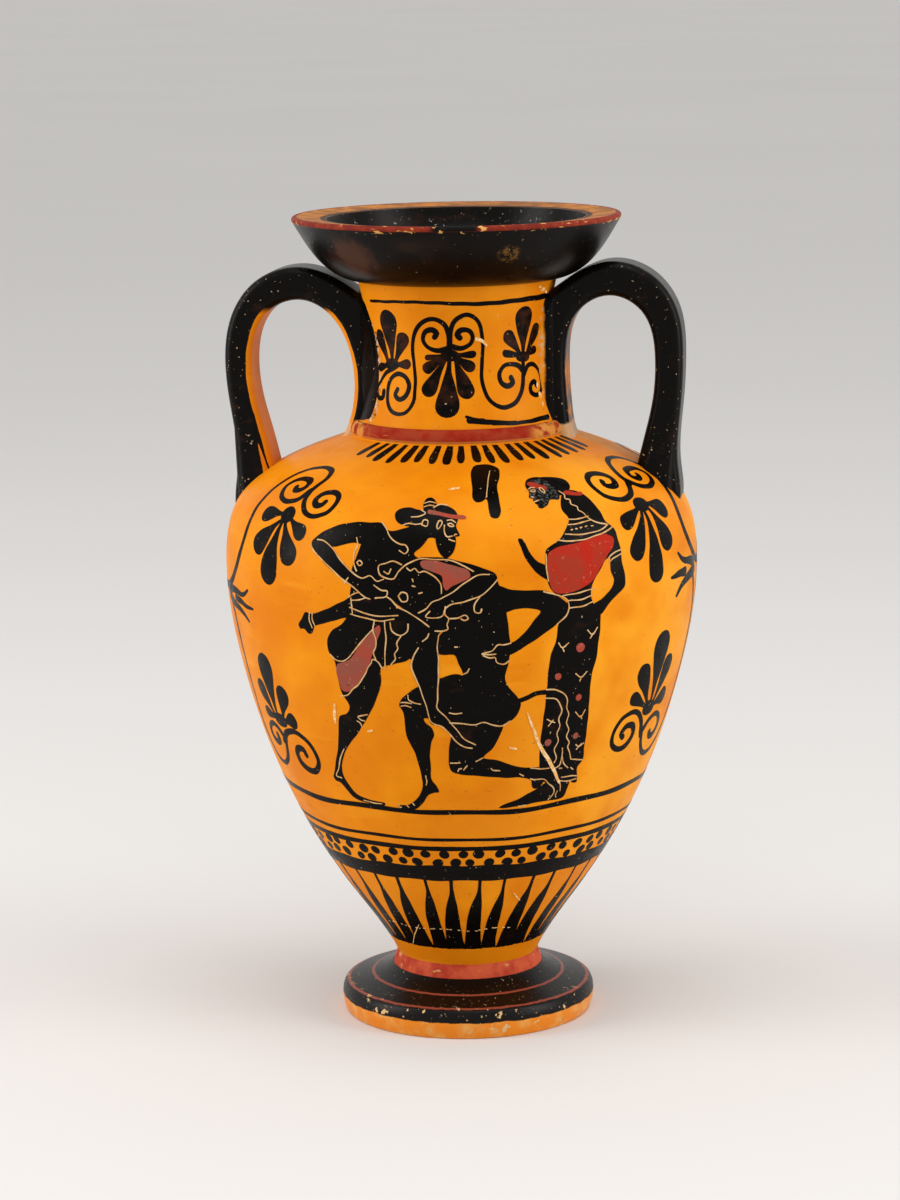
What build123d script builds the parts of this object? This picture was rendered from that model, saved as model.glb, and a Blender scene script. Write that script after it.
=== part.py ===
from build123d import *
import math
import os

# A small neck-amphora of fired clay, in millimetres: +Z up, the origin on the wheel's axis at the
# foot's resting plane, and the two handles on the X axis.
#
# It is made as a potter makes it. Foot, body, neck and mouth are thrown apart and joined with slip,
# the two handles are pulled straps, and each joint is dressed with clay: a fillet round the foot, a
# ring round the neck, and luting where the handles meet the neck and the shoulder.

# Heights of the joints between the thrown pieces
FOOT_TOP = 16.5
BODY_BOTTOM = 21.3
SHOULDER_SEAT = 209.3
RING_TOP = 213.9
NECK_TOP = 262.6
RIM_TOP = 285.0

# Radii of the thrown pieces
FOOT_RADIUS = 45.2
FOOT_REST_RADIUS = 44.0
FOOT_HOLLOW_RADIUS = 35.5
STUB_RADIUS = 24.0
BODY_BASE_RADIUS = 25.1
NECK_BASE_RADIUS = 35.6
NECK_WAIST_RADIUS = 32.0
NECK_TOP_RADIUS = 34.8
SHOULDER_SEAT_RADIUS = 38.3
BORE_RADIUS = 27.0
RIM_RADIUS = 57.2
RIM_INNER_RADIUS = 45.3

BODY_WALL = 5.0
FLOOR_TOP = 28.0

# The pulled handles: straps of one width whose outlines, made by hand, differ a little. Each outline is a
# list of distances from the axis and heights: the back runs up from the shoulder and over to the neck,
# the opening's edge up from the neck and over to the shoulder.
STRAP_WIDTH = 20.0
STRAP_EDGE_RADIUS = 3.2
RIGHT_BACK = (
    (75.4, 178.0),
    (78.3, 187.5),
    (77.4, 198.0),
    (78.6, 219.6),
    (79.4, 235.5),
    (77.4, 252.0),
    (69.4, 263.6),
    (54.5, 268.8),
    (42.0, 264.4),
    (29.0, 255.0),
)
RIGHT_OPENING = (
    (47.0, 201.0),
    (40.6, 209.3),
    (39.2, 218.0),
    (38.6, 237.0),
    (42.2, 250.3),
    (54.0, 256.9),
    (65.0, 251.4),
    (69.5, 236.0),
    (67.9, 217.0),
    (66.2, 210.0),
    (64.4, 203.0),
    (62.4, 195.0),
)
LEFT_BACK = (
    (77.6, 174.0),
    (79.5, 185.0),
    (78.4, 197.0),
    (80.6, 219.6),
    (81.8, 235.5),
    (78.7, 251.4),
    (69.6, 262.8),
    (54.5, 267.2),
    (42.0, 263.3),
    (29.0, 254.0),
)
LEFT_OPENING = (
    (47.0, 201.0),
    (39.6, 209.3),
    (36.7, 218.0),
    (37.2, 237.0),
    (43.3, 249.5),
    (54.0, 255.6),
    (66.6, 251.0),
    (72.2, 236.0),
    (70.2, 217.0),
    (68.0, 209.0),
    (66.0, 201.0),
    (64.4, 194.0),
)

# The luting on the neck: how far it spreads from the strap's middle line, and how far out from the axis
# it climbs the strap's side, into which it bites a little. It narrows from NECK_LUTING_WAIST up to its top.
RIGHT_NECK_SPREAD = 12.0
RIGHT_NECK_REACH = 35.0
LEFT_NECK_SPREAD = 17.4
LEFT_NECK_REACH = 33.2
NECK_LUTING_BITE = 0.3
NECK_LUTING_WAIST = 234.0
NECK_LUTING_TOP = 256.0

# The luting on the shoulder runs from a wide rounded section, low and buried in the shoulder, up to a
# narrow one that lies just inside the strap, whose middle there is this far from the axis. The wide
# section's middle is ROOT_LOW_OFFSET nearer to the axis.
ROOT_LOW = 182.0
ROOT_LOW_OFFSET = 4.8
ROOT_LOW_DEPTH = 15.0
ROOT_LOW_WIDTH = STRAP_WIDTH + 6.4
ROOT_LOW_CORNER = 5.0
ROOT_HIGH = 216.0
ROOT_HIGH_DEPTH = 8.6
ROOT_HIGH_WIDTH = STRAP_WIDTH - 1.4
ROOT_HIGH_CORNER = 3.0
RIGHT_ROOT_MIDDLE = 73.1
LEFT_ROOT_MIDDLE = 75.2


def turned(*outline):
    """The solid that a closed outline of (radius, height) curves sweeps out on the wheel.

    Its seam is turned to the back, away from both handles.
    """
    return Rot(Z=90) * revolve(Plane.XZ * make_face(outline), axis=Axis.Z)


def inner_wall(outer, thickness, stations):
    """Points a wall's thickness inside an outer curve that runs upwards."""
    points = []
    for share in stations:
        along = outer % share
        points.append(outer @ share + Vector(-along.Y, along.X) * thickness)
    return points


def body_curve():
    """The ovoid body's outside, from the foot up to the neck: widest high up, above a flat shoulder."""
    return Spline(
        (BODY_BASE_RADIUS, BODY_BOTTOM),
        (41.9, 46.8),
        (64.3, 86.1),
        (78.7, 130.5),
        (83.1, 163.0),
        (77.9, 187.0),
        (63.0, 199.0),
        (SHOULDER_SEAT_RADIUS, 208.7),
        tangents=((0.48, 1), (-1, 0.37)),
    )


def neck_curve():
    """The neck's outside, a shallow waist above the ring."""
    return Spline(
        (NECK_BASE_RADIUS, RING_TOP),
        (32.4, 228.0),
        (31.8, 243.0),
        (NECK_TOP_RADIUS, NECK_TOP),
    )


def echinus_curve():
    """The mouth's outside: nearly flat where it leaves the neck, then rising steeply to the rim."""
    return Spline(
        (NECK_TOP_RADIUS, NECK_TOP),
        (43.5, 265.7),
        (50.5, 272.6),
        (55.0, 279.5),
        (RIM_RADIUS, 283.2),
    )


def make_foot():
    """A spreading disc foot with a rounded edge, hollowed underneath to stand on a ring."""
    edge = Spline(
        (FOOT_REST_RADIUS, 0),
        (FOOT_RADIUS, 5.0),
        (44.5, 9.2),
        (43.2, 10.4),
        tangents=((0.4, 1), (-1, 0.3)),
    )
    top = Spline(edge @ 1, (34.2, 12.8), (27.0, FOOT_TOP), tangents=((-1, 0.26), (-1, 0.85)))
    seat = Line(top @ 1, (0, FOOT_TOP))
    axis = Line(seat @ 1, (0, 10.0))
    hollow = Spline(
        axis @ 1,
        (20.0, 8.4),
        (33.0, 2.4),
        (FOOT_HOLLOW_RADIUS, 0),
        tangents=((1, 0), (0.5, -1)),
    )
    ring = Line(hollow @ 1, edge @ 0)
    return turned(edge, top, seat, axis, hollow, ring)


def make_foot_fillet():
    """The clay ring dressed over the joint of foot and body, splayed a little onto the foot."""
    outer = ThreePointArc((26.7, FOOT_TOP), (26.1, 18.6), (BODY_BASE_RADIUS, BODY_BOTTOM))
    top = Line(outer @ 1, (STUB_RADIUS, BODY_BOTTOM))
    bore = Line(top @ 1, (STUB_RADIUS, FOOT_TOP))
    base = Line(bore @ 1, outer @ 0)
    return turned(outer, top, bore, base)


def make_body():
    """The hollow body with its stub below and the seat for neck and ring above."""
    outer = body_curve()
    rim = Line(outer @ 1, (SHOULDER_SEAT_RADIUS, SHOULDER_SEAT))
    seat = Line(rim @ 1, (BORE_RADIUS, SHOULDER_SEAT))
    wall = inner_wall(outer, BODY_WALL, (0.98, 0.9, 0.82, 0.74, 0.62, 0.5, 0.34, 0.2, 0.1))
    lip = Line(seat @ 1, (BORE_RADIUS, wall[0].Y))
    ledge = Line(lip @ 1, wall[0])
    cavity = Spline(*wall, (18.0, FLOOR_TOP + 2.0), (0, FLOOR_TOP))
    axis = Line(cavity @ 1, (0, FOOT_TOP))
    base = Line(axis @ 1, (STUB_RADIUS, FOOT_TOP))
    stub = Line(base @ 1, (STUB_RADIUS, BODY_BOTTOM))
    step = Line(stub @ 1, outer @ 0)
    return turned(outer, rim, seat, lip, ledge, cavity, axis, base, stub, step)


def make_neck():
    """The thrown neck, waisted outside and bored straight through."""
    outer = neck_curve()
    top = Line(outer @ 1, (BORE_RADIUS, NECK_TOP))
    bore = Line(top @ 1, (BORE_RADIUS, SHOULDER_SEAT))
    base = Line(bore @ 1, (NECK_BASE_RADIUS, SHOULDER_SEAT))
    collar = Line(base @ 1, outer @ 0)
    return turned(outer, top, bore, base, collar)


def make_neck_ring():
    """The raised ring round the joint of neck and shoulder."""
    outer = ThreePointArc((SHOULDER_SEAT_RADIUS, SHOULDER_SEAT), (38.1, 212.2), (36.6, RING_TOP))
    top = Line(outer @ 1, (NECK_BASE_RADIUS, RING_TOP))
    bore = Line(top @ 1, (NECK_BASE_RADIUS, SHOULDER_SEAT))
    base = Line(bore @ 1, outer @ 0)
    return turned(outer, top, bore, base)


def make_mouth():
    """The echinus mouth: a deep flaring lip whose flat top dips a little towards the bowl."""
    outer = echinus_curve()
    lip = ThreePointArc(outer @ 1, (57.25, 284.5), (56.4, RIM_TOP))
    top = Line(lip @ 1, (RIM_INNER_RADIUS, 283.9))
    bowl = Spline(
        top @ 1,
        (43.2, 277.0),
        (35.5, 268.6),
        (BORE_RADIUS, NECK_TOP),
        tangents=((-0.2, -1), (-1, -0.9)),
    )
    base = Line(bowl @ 1, outer @ 0)
    return turned(outer, lip, top, bowl, base)


def filled_vessel():
    """Body, ring, neck and mouth with nothing hollow: what the handles stop against."""
    shoulder = body_curve()
    neck = neck_curve()
    mouth = echinus_curve()
    rise = Line(shoulder @ 1, (SHOULDER_SEAT_RADIUS, SHOULDER_SEAT))
    seat = Line(rise @ 1, (NECK_BASE_RADIUS, SHOULDER_SEAT))
    collar = Line(seat @ 1, neck @ 0)
    rim = Line(mouth @ 1, (0, RIM_TOP))
    axis = Line(rim @ 1, (0, BODY_BOTTOM))
    base = Line(axis @ 1, shoulder @ 0)
    return turned(shoulder, rise, seat, collar, neck, mouth, rim, axis, base)


def make_strap(back_points, opening_points):
    """A handle at the right before it is trimmed: an upright strap that loops from neck to shoulder."""
    back = Spline(*back_points)
    opening = Spline(*opening_points)
    buried_top = Line(back @ 1, (29.0, 204.0))
    buried_foot = Line(buried_top @ 1, opening @ 0)
    buried_root = Line(opening @ 1, back @ 0)
    profile = make_face([back, buried_top, buried_foot, opening, buried_root])
    strap = extrude(Plane.XZ.offset(-STRAP_WIDTH / 2) * profile, STRAP_WIDTH)
    long_edges = strap.edges().sort_by(SortBy.LENGTH)[-4:]
    return fillet(long_edges, STRAP_EDGE_RADIUS)


def closed_face(front, back, *corners):
    """A face bounded by two arcs, a line between them, and lines through the corners back to the start."""
    path = [front, Line(front @ 1, back @ 0), back]
    for corner in corners:
        path.append(Line(path[-1] @ 1, corner))
    path.append(Line(path[-1] @ 1, front @ 0))
    return make_face(path)


def make_neck_luting(strap, vessel, spread, reach):
    """Clay that fairs the two sides of a strap into the neck and runs out to nothing at its top."""
    side = STRAP_WIDTH / 2
    climb = side - NECK_LUTING_BITE
    landing = math.sqrt(NECK_WAIST_RADIUS ** 2 - spread ** 2)
    bulge = ((landing + reach) / 2 + 0.25, (spread + side) / 2 + 0.15)
    near = ThreePointArc((landing, -spread), (bulge[0], -bulge[1]), (reach, -climb))
    far = ThreePointArc((reach, climb), bulge, (landing, spread))
    section = closed_face(near, far, (STUB_RADIUS, spread), (STUB_RADIUS, -spread))
    band = Pos(Z=RING_TOP) * extrude(section, NECK_LUTING_TOP - RING_TOP)

    bulge = ((spread + side) / 2 + 0.8, (NECK_LUTING_WAIST + NECK_LUTING_TOP) / 2 + 2.0)
    left = ThreePointArc((-spread, NECK_LUTING_WAIST), (-bulge[0], bulge[1]), (-side, NECK_LUTING_TOP))
    right = ThreePointArc((side, NECK_LUTING_TOP), bulge, (spread, NECK_LUTING_WAIST))
    outline = closed_face(left, right, (spread, RING_TOP), (-spread, RING_TOP))
    taper = extrude(Plane.YZ.offset(STUB_RADIUS) * outline, reach)
    return (band & taper) - strap - vessel


def make_shoulder_luting(strap, vessel, strap_middle):
    """The collar of clay that fairs a strap into the shoulder, flush with the strap at its top."""
    low = RectangleRounded(ROOT_LOW_DEPTH, ROOT_LOW_WIDTH, ROOT_LOW_CORNER)
    high = RectangleRounded(ROOT_HIGH_DEPTH, ROOT_HIGH_WIDTH, ROOT_HIGH_CORNER)
    low = Pos(strap_middle - ROOT_LOW_OFFSET, 0, ROOT_LOW) * low
    high = Pos(strap_middle, 0, ROOT_HIGH) * high
    return loft([low, high]) - strap - vessel


def mirrored(solid):
    """The left-hand copy of a piece on the right."""
    return mirror(solid, about=Plane.YZ)


def make_pieces():
    """Every piece by name."""
    vessel = filled_vessel()
    right_strap = make_strap(RIGHT_BACK, RIGHT_OPENING)
    left_strap = make_strap(LEFT_BACK, LEFT_OPENING)
    right_luting = make_neck_luting(right_strap, vessel, RIGHT_NECK_SPREAD, RIGHT_NECK_REACH)
    left_luting = make_neck_luting(left_strap, vessel, LEFT_NECK_SPREAD, LEFT_NECK_REACH)
    right_root = make_shoulder_luting(right_strap, vessel, RIGHT_ROOT_MIDDLE)
    left_root = make_shoulder_luting(left_strap, vessel, LEFT_ROOT_MIDDLE)
    return {
        "foot": make_foot(),
        "foot_fillet": make_foot_fillet(),
        "body": make_body(),
        "neck_ring": make_neck_ring() - right_strap - mirrored(left_strap),
        "neck": make_neck(),
        "mouth": make_mouth(),
        "right_handle": right_strap - vessel,
        "right_handle_neck_luting": right_luting,
        "right_handle_shoulder_luting": right_root,
        "left_handle": mirrored(left_strap - vessel),
        "left_handle_neck_luting": mirrored(left_luting),
        "left_handle_shoulder_luting": mirrored(left_root),
    }


os.makedirs("parts", exist_ok=True)
for name, solid in make_pieces().items():
    export_step(solid, f"parts/{name}.step")
    print(name, len(solid.solids()), "solids,", round(solid.volume), "mm3")
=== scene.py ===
import math

import bpy
import numpy as np
from mathutils import Euler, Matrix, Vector
from mathutils.geometry import delaunay_2d_cdt


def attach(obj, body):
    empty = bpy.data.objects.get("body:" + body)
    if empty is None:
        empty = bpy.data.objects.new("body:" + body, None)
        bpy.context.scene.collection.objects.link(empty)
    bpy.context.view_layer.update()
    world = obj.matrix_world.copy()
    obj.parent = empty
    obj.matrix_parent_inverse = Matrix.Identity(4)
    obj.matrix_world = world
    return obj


# A painted neck-amphora. The turned pieces and the handles are the frame's own; this script gives
# them their slip and clay, and lays the painting on them as thin shells, one piece for each motif.
# Drawing is done in millimetres on the unrolled surface: across, to the right from the middle of
# the front, measured on a circle of the skin's roll radius, and up, along the profile.

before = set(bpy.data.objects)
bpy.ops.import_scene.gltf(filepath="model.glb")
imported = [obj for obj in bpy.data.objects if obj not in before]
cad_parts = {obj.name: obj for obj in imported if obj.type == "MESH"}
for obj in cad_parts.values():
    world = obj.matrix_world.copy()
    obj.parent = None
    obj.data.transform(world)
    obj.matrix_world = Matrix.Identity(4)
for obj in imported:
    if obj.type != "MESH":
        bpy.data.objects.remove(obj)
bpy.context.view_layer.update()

MM = 0.001

# Heights on the turned nodes, and the roll radii that "across" is measured on.
BODY_LOW, BODY_HIGH, BODY_ORIGIN, BODY_ROLL = 21.3, 208.7, 85.0, 83.0
NECK_LOW, NECK_HIGH, NECK_ROLL = 213.9, 262.6, 32.0

# How a shell lies: sunk into the clay, lifted by its kind, each next shell a hair higher.
SINK = 0.12
LAYER = 0.0008
LAYERS = 24
SLIP_LIFT, WHITE_LIFT, RED_LIFT, CHIP_LIFT, LINE_LIFT, SCRATCH_LIFT = 0.06, 0.095, 0.11, 0.12, 0.15, 0.19
BODY_CELL, NECK_CELL = 2.4, 1.3

# Reading a node's profile: how far a point has to face outwards, and the least gap of two levels.
OUTWARD_LEAST = 0.12
LEVEL_GAP = 0.15
LEVEL_MARGIN = 0.01
SLOPE_REACH = 0.05


# ---------------------------------------------------------------- curves in the flat

class Cubic:
    """A natural cubic spline through (xs, ys)."""

    def __init__(self, xs, ys):
        self.xs, self.ys = np.asarray(xs, float), np.asarray(ys, float)
        count = len(self.xs)
        self.h = np.diff(self.xs)
        slope = np.diff(self.ys) / self.h
        system = np.eye(count)
        right = np.zeros(count)
        for i in range(1, count - 1):
            system[i, i - 1:i + 2] = self.h[i - 1], 2 * (self.h[i - 1] + self.h[i]), self.h[i]
            right[i] = 6 * (slope[i] - slope[i - 1])
        self.bend = np.linalg.solve(system, right)

    def __call__(self, at):
        i = np.clip(np.searchsorted(self.xs, at) - 1, 0, len(self.xs) - 2)
        a = (self.xs[i + 1] - at) / self.h[i]
        b = 1 - a
        curved = ((a ** 3 - a) * self.bend[i] + (b ** 3 - b) * self.bend[i + 1]) * self.h[i] ** 2 / 6
        return a * self.ys[i] + b * self.ys[i + 1] + curved


def smooth_run(points, step, closed):
    """Evenly stepped points on a centripetal Catmull-Rom curve."""
    points = np.asarray(points, float)
    if closed:
        control = np.vstack([points[-1], points, points[0], points[1]])
    elif len(points) == 2:
        count = max(2, math.ceil(np.linalg.norm(points[1] - points[0]) / step) + 1)
        return points[0] + np.linspace(0, 1, count)[:, None] * (points[1] - points[0])
    else:
        first = 2 * points[0] - points[1]
        last = 2 * points[-1] - points[-2]
        control = np.vstack([first, points, last])
    run = []
    for p0, p1, p2, p3 in zip(control, control[1:], control[2:], control[3:]):
        t1 = np.linalg.norm(p1 - p0) ** 0.5
        t2 = t1 + np.linalg.norm(p2 - p1) ** 0.5
        t3 = t2 + np.linalg.norm(p3 - p2) ** 0.5
        count = max(2, math.ceil(np.linalg.norm(p2 - p1) / step))
        t = np.linspace(t1, t2, count, endpoint=False)[:, None]
        a1 = (t1 - t) / t1 * p0 + t / t1 * p1
        a2 = (t2 - t) / (t2 - t1) * p1 + (t - t1) / (t2 - t1) * p2
        a3 = (t3 - t) / (t3 - t2) * p2 + (t - t2) / (t3 - t2) * p3
        b1 = (t2 - t) / t2 * a1 + t / t2 * a2
        b2 = (t3 - t) / (t3 - t1) * a2 + (t - t1) / (t3 - t1) * a3
        run.append((t2 - t) / (t2 - t1) * b1 + (t - t1) / (t2 - t1) * b2)
    if not closed:
        run.append(points[-1][None])
    return np.vstack(run)


def curve(points, step=0.9):
    """A smooth line through the points; a point given twice in a row is a corner."""
    runs = [[points[0]]]
    for p in points[1:]:
        if tuple(p) == tuple(runs[-1][-1]):
            runs.append([])
        runs[-1].append(p)
    made = [smooth_run(run, step, False) for run in runs if len(run) > 1]
    return np.vstack([made[0]] + [m[1:] for m in made[1:]])


def loop(points, step=0.9):
    """A smooth closed outline through the points."""
    return smooth_run(points, step, True)


def outline(points, step=0.9):
    """A closed outline with a corner at its first point, and at each point given twice."""
    return curve(list(points) + [points[0]], step)[:-1]


# ---------------------------------------------------------------- the surface that is painted

class Skin:
    """The outside of a turned CAD node: radius and height over the distance along its profile."""

    def __init__(self, node, low, high, origin, roll):
        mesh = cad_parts[node].data
        count = len(mesh.vertices)
        place = np.zeros(count * 3)
        facing = np.zeros(count * 3)
        mesh.vertices.foreach_get("co", place)
        mesh.vertices.foreach_get("normal", facing)
        place = place.reshape(-1, 3) / MM
        facing = facing.reshape(-1, 3)
        radius = np.hypot(place[:, 0], place[:, 1])
        outward = (facing[:, :2] * place[:, :2]).sum(1) / np.maximum(radius, 1e-6)
        height = place[:, 2]
        kept = (outward > OUTWARD_LEAST) & (height > low - LEVEL_MARGIN) & (height < high + LEVEL_MARGIN)
        levels = {}
        for z, r in zip(height[kept], radius[kept]):
            levels.setdefault(round(z, 1), []).append((z, r))
        rows = sorted(tuple(np.mean(found, axis=0)) for found in levels.values())
        rows = [rows[0]] + [b for a, b in zip(rows, rows[1:]) if b[0] - a[0] > LEVEL_GAP]
        z = np.array([row[0] for row in rows])
        r = np.array([row[1] for row in rows])
        along = np.concatenate([[0], np.cumsum(np.hypot(np.diff(z), np.diff(r)))])
        along = along - np.interp(origin, z, along)
        self.low, self.high = along[0], along[-1]
        self.radius, self.height = Cubic(along, r), Cubic(along, z)
        self.roll = roll

    def point(self, across, up):
        """Points in millimetres in the frame, and the surface's normals there."""
        angle = np.asarray(across) / self.roll
        up = np.clip(up, self.low, self.high)
        r, z = self.radius(up), self.height(up)
        ahead = np.clip(up + SLOPE_REACH, self.low, self.high)
        behind = np.clip(up - SLOPE_REACH, self.low, self.high)
        rise = self.height(ahead) - self.height(behind)
        spread = self.radius(ahead) - self.radius(behind)
        length = np.hypot(rise, spread)
        out, over = rise / length, -spread / length
        place = np.column_stack([r * np.sin(angle), -r * np.cos(angle), z])
        normal = np.column_stack([out * np.sin(angle), -out * np.cos(angle), over])
        return place, normal


BODY = Skin("body", BODY_LOW, BODY_HIGH, BODY_ORIGIN, BODY_ROLL)
NECK = Skin("neck", NECK_LOW, NECK_HIGH, NECK_LOW, NECK_ROLL)
TURN = 2 * math.pi * BODY.roll
NECK_TURN = 2 * math.pi * NECK.roll


# ---------------------------------------------------------------- paint

def wobble(points):
    """The slow wander of a painter's hand."""
    across, up = points[:, 0], points[:, 1]
    right = 0.16 * np.sin(0.21 * up + 0.13 * across) + 0.07 * np.sin(0.83 * up - 0.4 * across + 2)
    rise = 0.16 * np.sin(0.19 * across - 0.11 * up + 1) + 0.07 * np.sin(0.77 * across + 0.5 * up)
    return np.column_stack([across + right, up + rise])


def inside(edge, points):
    """Which points lie in the outline."""
    hit = np.zeros(len(points), bool)
    for a, b in zip(edge, np.roll(edge, -1, axis=0)):
        crosses = (a[1] > points[:, 1]) != (b[1] > points[:, 1])
        with np.errstate(divide="ignore", invalid="ignore"):
            reach = (b[0] - a[0]) * (points[:, 1] - a[1]) / (b[1] - a[1]) + a[0]
        hit ^= crosses & (points[:, 0] < reach)
    return hit


class Paint:
    """One colour laid on a skin in a piece of its own, as thin closed shells."""

    def __init__(self, skin, lift=SLIP_LIFT, shift=0.0, flip=False):
        self.skin = skin
        self.lift = lift
        self.cell = NECK_CELL if skin is NECK else BODY_CELL
        self.shift = (shift, 0)
        self.flip = flip
        self.places = []
        self.faces = []
        self.normals = []
        self.count = 0

    def shell(self, flat, triangles, wrapped=False):
        """A thin closed shell over a triangulated patch; one that is wrapped runs right round."""
        flat = np.array(flat, float)
        triangles = np.array(triangles, int)
        if self.flip:
            flat = flat * (-1, 1)
        corner = flat[triangles]
        ab, ac = corner[:, 1] - corner[:, 0], corner[:, 2] - corner[:, 0]
        area = ab[:, 0] * ac[:, 1] - ab[:, 1] * ac[:, 0]
        if wrapped:
            area[:] = -1 if self.flip else 1
        triangles[area < 0] = triangles[area < 0][:, ::-1]
        flat = flat if wrapped else wobble(flat + self.shift)
        place, normal = self.skin.point(flat[:, 0], flat[:, 1])
        top = place + normal * (self.lift + LAYER * (len(self.places) % LAYERS))
        low = place - normal * SINK
        size = len(flat)
        edges = {}
        for a, b, c in triangles:
            for pair in ((a, b), (b, c), (c, a)):
                edges[pair] = True
        rim = [pair for pair in edges if (pair[1], pair[0]) not in edges]
        first = self.count
        for a, b, c in triangles:
            self.faces.append((first + a, first + b, first + c))
            self.normals.extend((normal[a], normal[b], normal[c]))
        for a, b, c in triangles:
            self.faces.append((first + size + c, first + size + b, first + size + a))
            self.normals.extend((-normal[c], -normal[b], -normal[a]))
        for a, b in rim:
            self.faces.append((first + a, first + size + a, first + size + b, first + b))
            side = np.cross(low[a] - top[a], top[b] - top[a])
            side = side / max(np.linalg.norm(side), 1e-9)
            self.normals.extend((side,) * 4)
        self.places.extend((top, low))
        self.count += 2 * size

    def fill(self, points):
        """A filled outline."""
        edge = np.asarray(points, float)
        ahead = np.roll(edge, -1, axis=0)
        if (edge[:, 0] * ahead[:, 1] - ahead[:, 0] * edge[:, 1]).sum() < 0:
            edge = edge[::-1]
        low, high = edge.min(0), edge.max(0)
        across = np.arange(low[0] + self.cell / 2, high[0], self.cell)
        up = np.arange(low[1] + self.cell / 2, high[1], self.cell)
        grid = np.array([(x, y) for x in across for y in up]).reshape(-1, 2)
        grid = grid[inside(edge, grid)] if len(grid) else grid
        nodes = [Vector(p) for p in np.vstack([edge, grid])]
        made = delaunay_2d_cdt(nodes, [], [list(range(len(edge)))], 1, 1e-4)
        triangles = [face for face, origin in zip(made[2], made[5]) if origin]
        if triangles:
            self.shell([tuple(p) for p in made[0]], triangles)

    def stroke(self, line, width, start=1.0, end=1.0, round_start=True, round_end=True):
        """A brush line; start and end scale its width towards its two ends."""
        line = np.asarray(line, float)
        gap = np.linalg.norm(np.diff(line, axis=0), axis=1)
        line = line[np.concatenate([[True], gap > 1e-4])]
        run = np.concatenate([[0], np.cumsum(np.linalg.norm(np.diff(line, axis=0), axis=1))])
        share = run / run[-1]
        if callable(width):
            widths = np.array([width(t) for t in share])
        else:
            ease = np.minimum(share * 3, 1), np.minimum((1 - share) * 3, 1)
            widths = width * (start + (1 - start) * ease[0]) * (end + (1 - end) * ease[1])
        tangent = np.gradient(line, axis=0)
        tangent /= np.linalg.norm(tangent, axis=1)[:, None]
        line, widths, tangent = self.rounded(line, widths, tangent, round_start, round_end)
        side = np.column_stack([-tangent[:, 1], tangent[:, 0]])
        columns = max(1, math.ceil(widths.max() / self.cell))
        offsets = np.linspace(-0.5, 0.5, columns + 1)
        flat = (line[:, None] + side[:, None] * (widths[:, None] * offsets)[..., None]).reshape(-1, 2)
        self.shell(flat, self.quads(len(line), columns + 1, False))

    @staticmethod
    def rounded(line, widths, tangent, at_start, at_end):
        """The line with a half round added at its ends."""
        caps = ((0.25, 0.97), (0.5, 0.87), (0.75, 0.66), (0.93, 0.37), (1.0, 0.04))
        if at_end:
            reach = widths[-1] / 2
            line = np.vstack([line] + [line[-1] + tangent[-1] * reach * f for f, _ in caps])
            tangent = np.vstack([tangent] + [tangent[-1]] * len(caps))
            widths = np.concatenate([widths, [widths[-1] * g for _, g in caps]])
        if at_start:
            reach = widths[0] / 2
            line = np.vstack([line[0] - tangent[0] * reach * f for f, _ in caps[::-1]] + [line])
            tangent = np.vstack([tangent[0]] * len(caps) + [tangent])
            widths = np.concatenate([[widths[0] * g for _, g in caps[::-1]], widths])
        return line, widths, tangent

    @staticmethod
    def quads(rows, columns, closed):
        """Triangles over a grid of rows and columns, joined end to end if closed."""
        made = []
        for i in range(rows if closed else rows - 1):
            j = (i + 1) % rows
            for k in range(columns - 1):
                a, b = i * columns + k, i * columns + k + 1
                c, d = j * columns + k + 1, j * columns + k
                made.extend(((a, d, c), (a, c, b)))
        return made

    def band(self, up, width, wave=0.12, seed=0.0, rows=360):
        """A line right round the vessel, of slightly uneven height and width."""
        t = np.linspace(0, 2 * math.pi, rows, endpoint=False)
        swing = np.sin(2 * t + seed) + 0.5 * np.sin(5 * t + 2.1 * seed) + 0.4 * np.sin(11 * t)
        middle = up + wave * swing
        half = width / 2 * (1 + 0.08 * np.sin(3 * t + seed) + 0.07 * np.sin(17 * t + 3 * seed))
        columns = max(1, math.ceil(width / self.cell))
        share = np.linspace(1, -1, columns + 1)
        across = np.repeat(t * self.skin.roll, columns + 1)
        height = (middle[:, None] + half[:, None] * share).reshape(-1)
        around = [(a, c, b) for a, b, c in self.quads(rows, columns + 1, True)]
        self.shell(np.column_stack([across, height]), around, wrapped=True)

    def dot(self, centre, across, up=None, turn=0.0):
        """A filled ellipse of the given half sizes."""
        up = across if up is None else up
        t = np.linspace(0, 2 * math.pi, max(10, int((across + up) * 5)), endpoint=False)
        x, y = across * np.cos(t), up * np.sin(t)
        c, s = math.cos(math.radians(turn)), math.sin(math.radians(turn))
        rim = np.column_stack([centre[0] + c * x - s * y, centre[1] + s * x + c * y])
        if max(across, up) > self.cell:
            self.fill(rim)
            return
        flat = np.vstack([rim, [centre]])
        size = len(rim)
        self.shell(flat, [(i, (i + 1) % size, size) for i in range(size)])

    def build(self, name, material):
        """The finished piece."""
        mesh = bpy.data.meshes.new(name)
        places = np.vstack(self.places) * MM
        mesh.from_pydata(places.tolist(), [], self.faces)
        mesh.normals_split_custom_set([tuple(n) for n in self.normals])
        mesh.materials.append(material)
        made = bpy.data.objects.new(name, mesh)
        bpy.context.scene.collection.objects.link(made)
        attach(made, "root")
        return made


# ---------------------------------------------------------------- materials

# How far a seed moves the noise, in millimetres.
SEED_STRIDE = (97, 231, -173)


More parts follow.
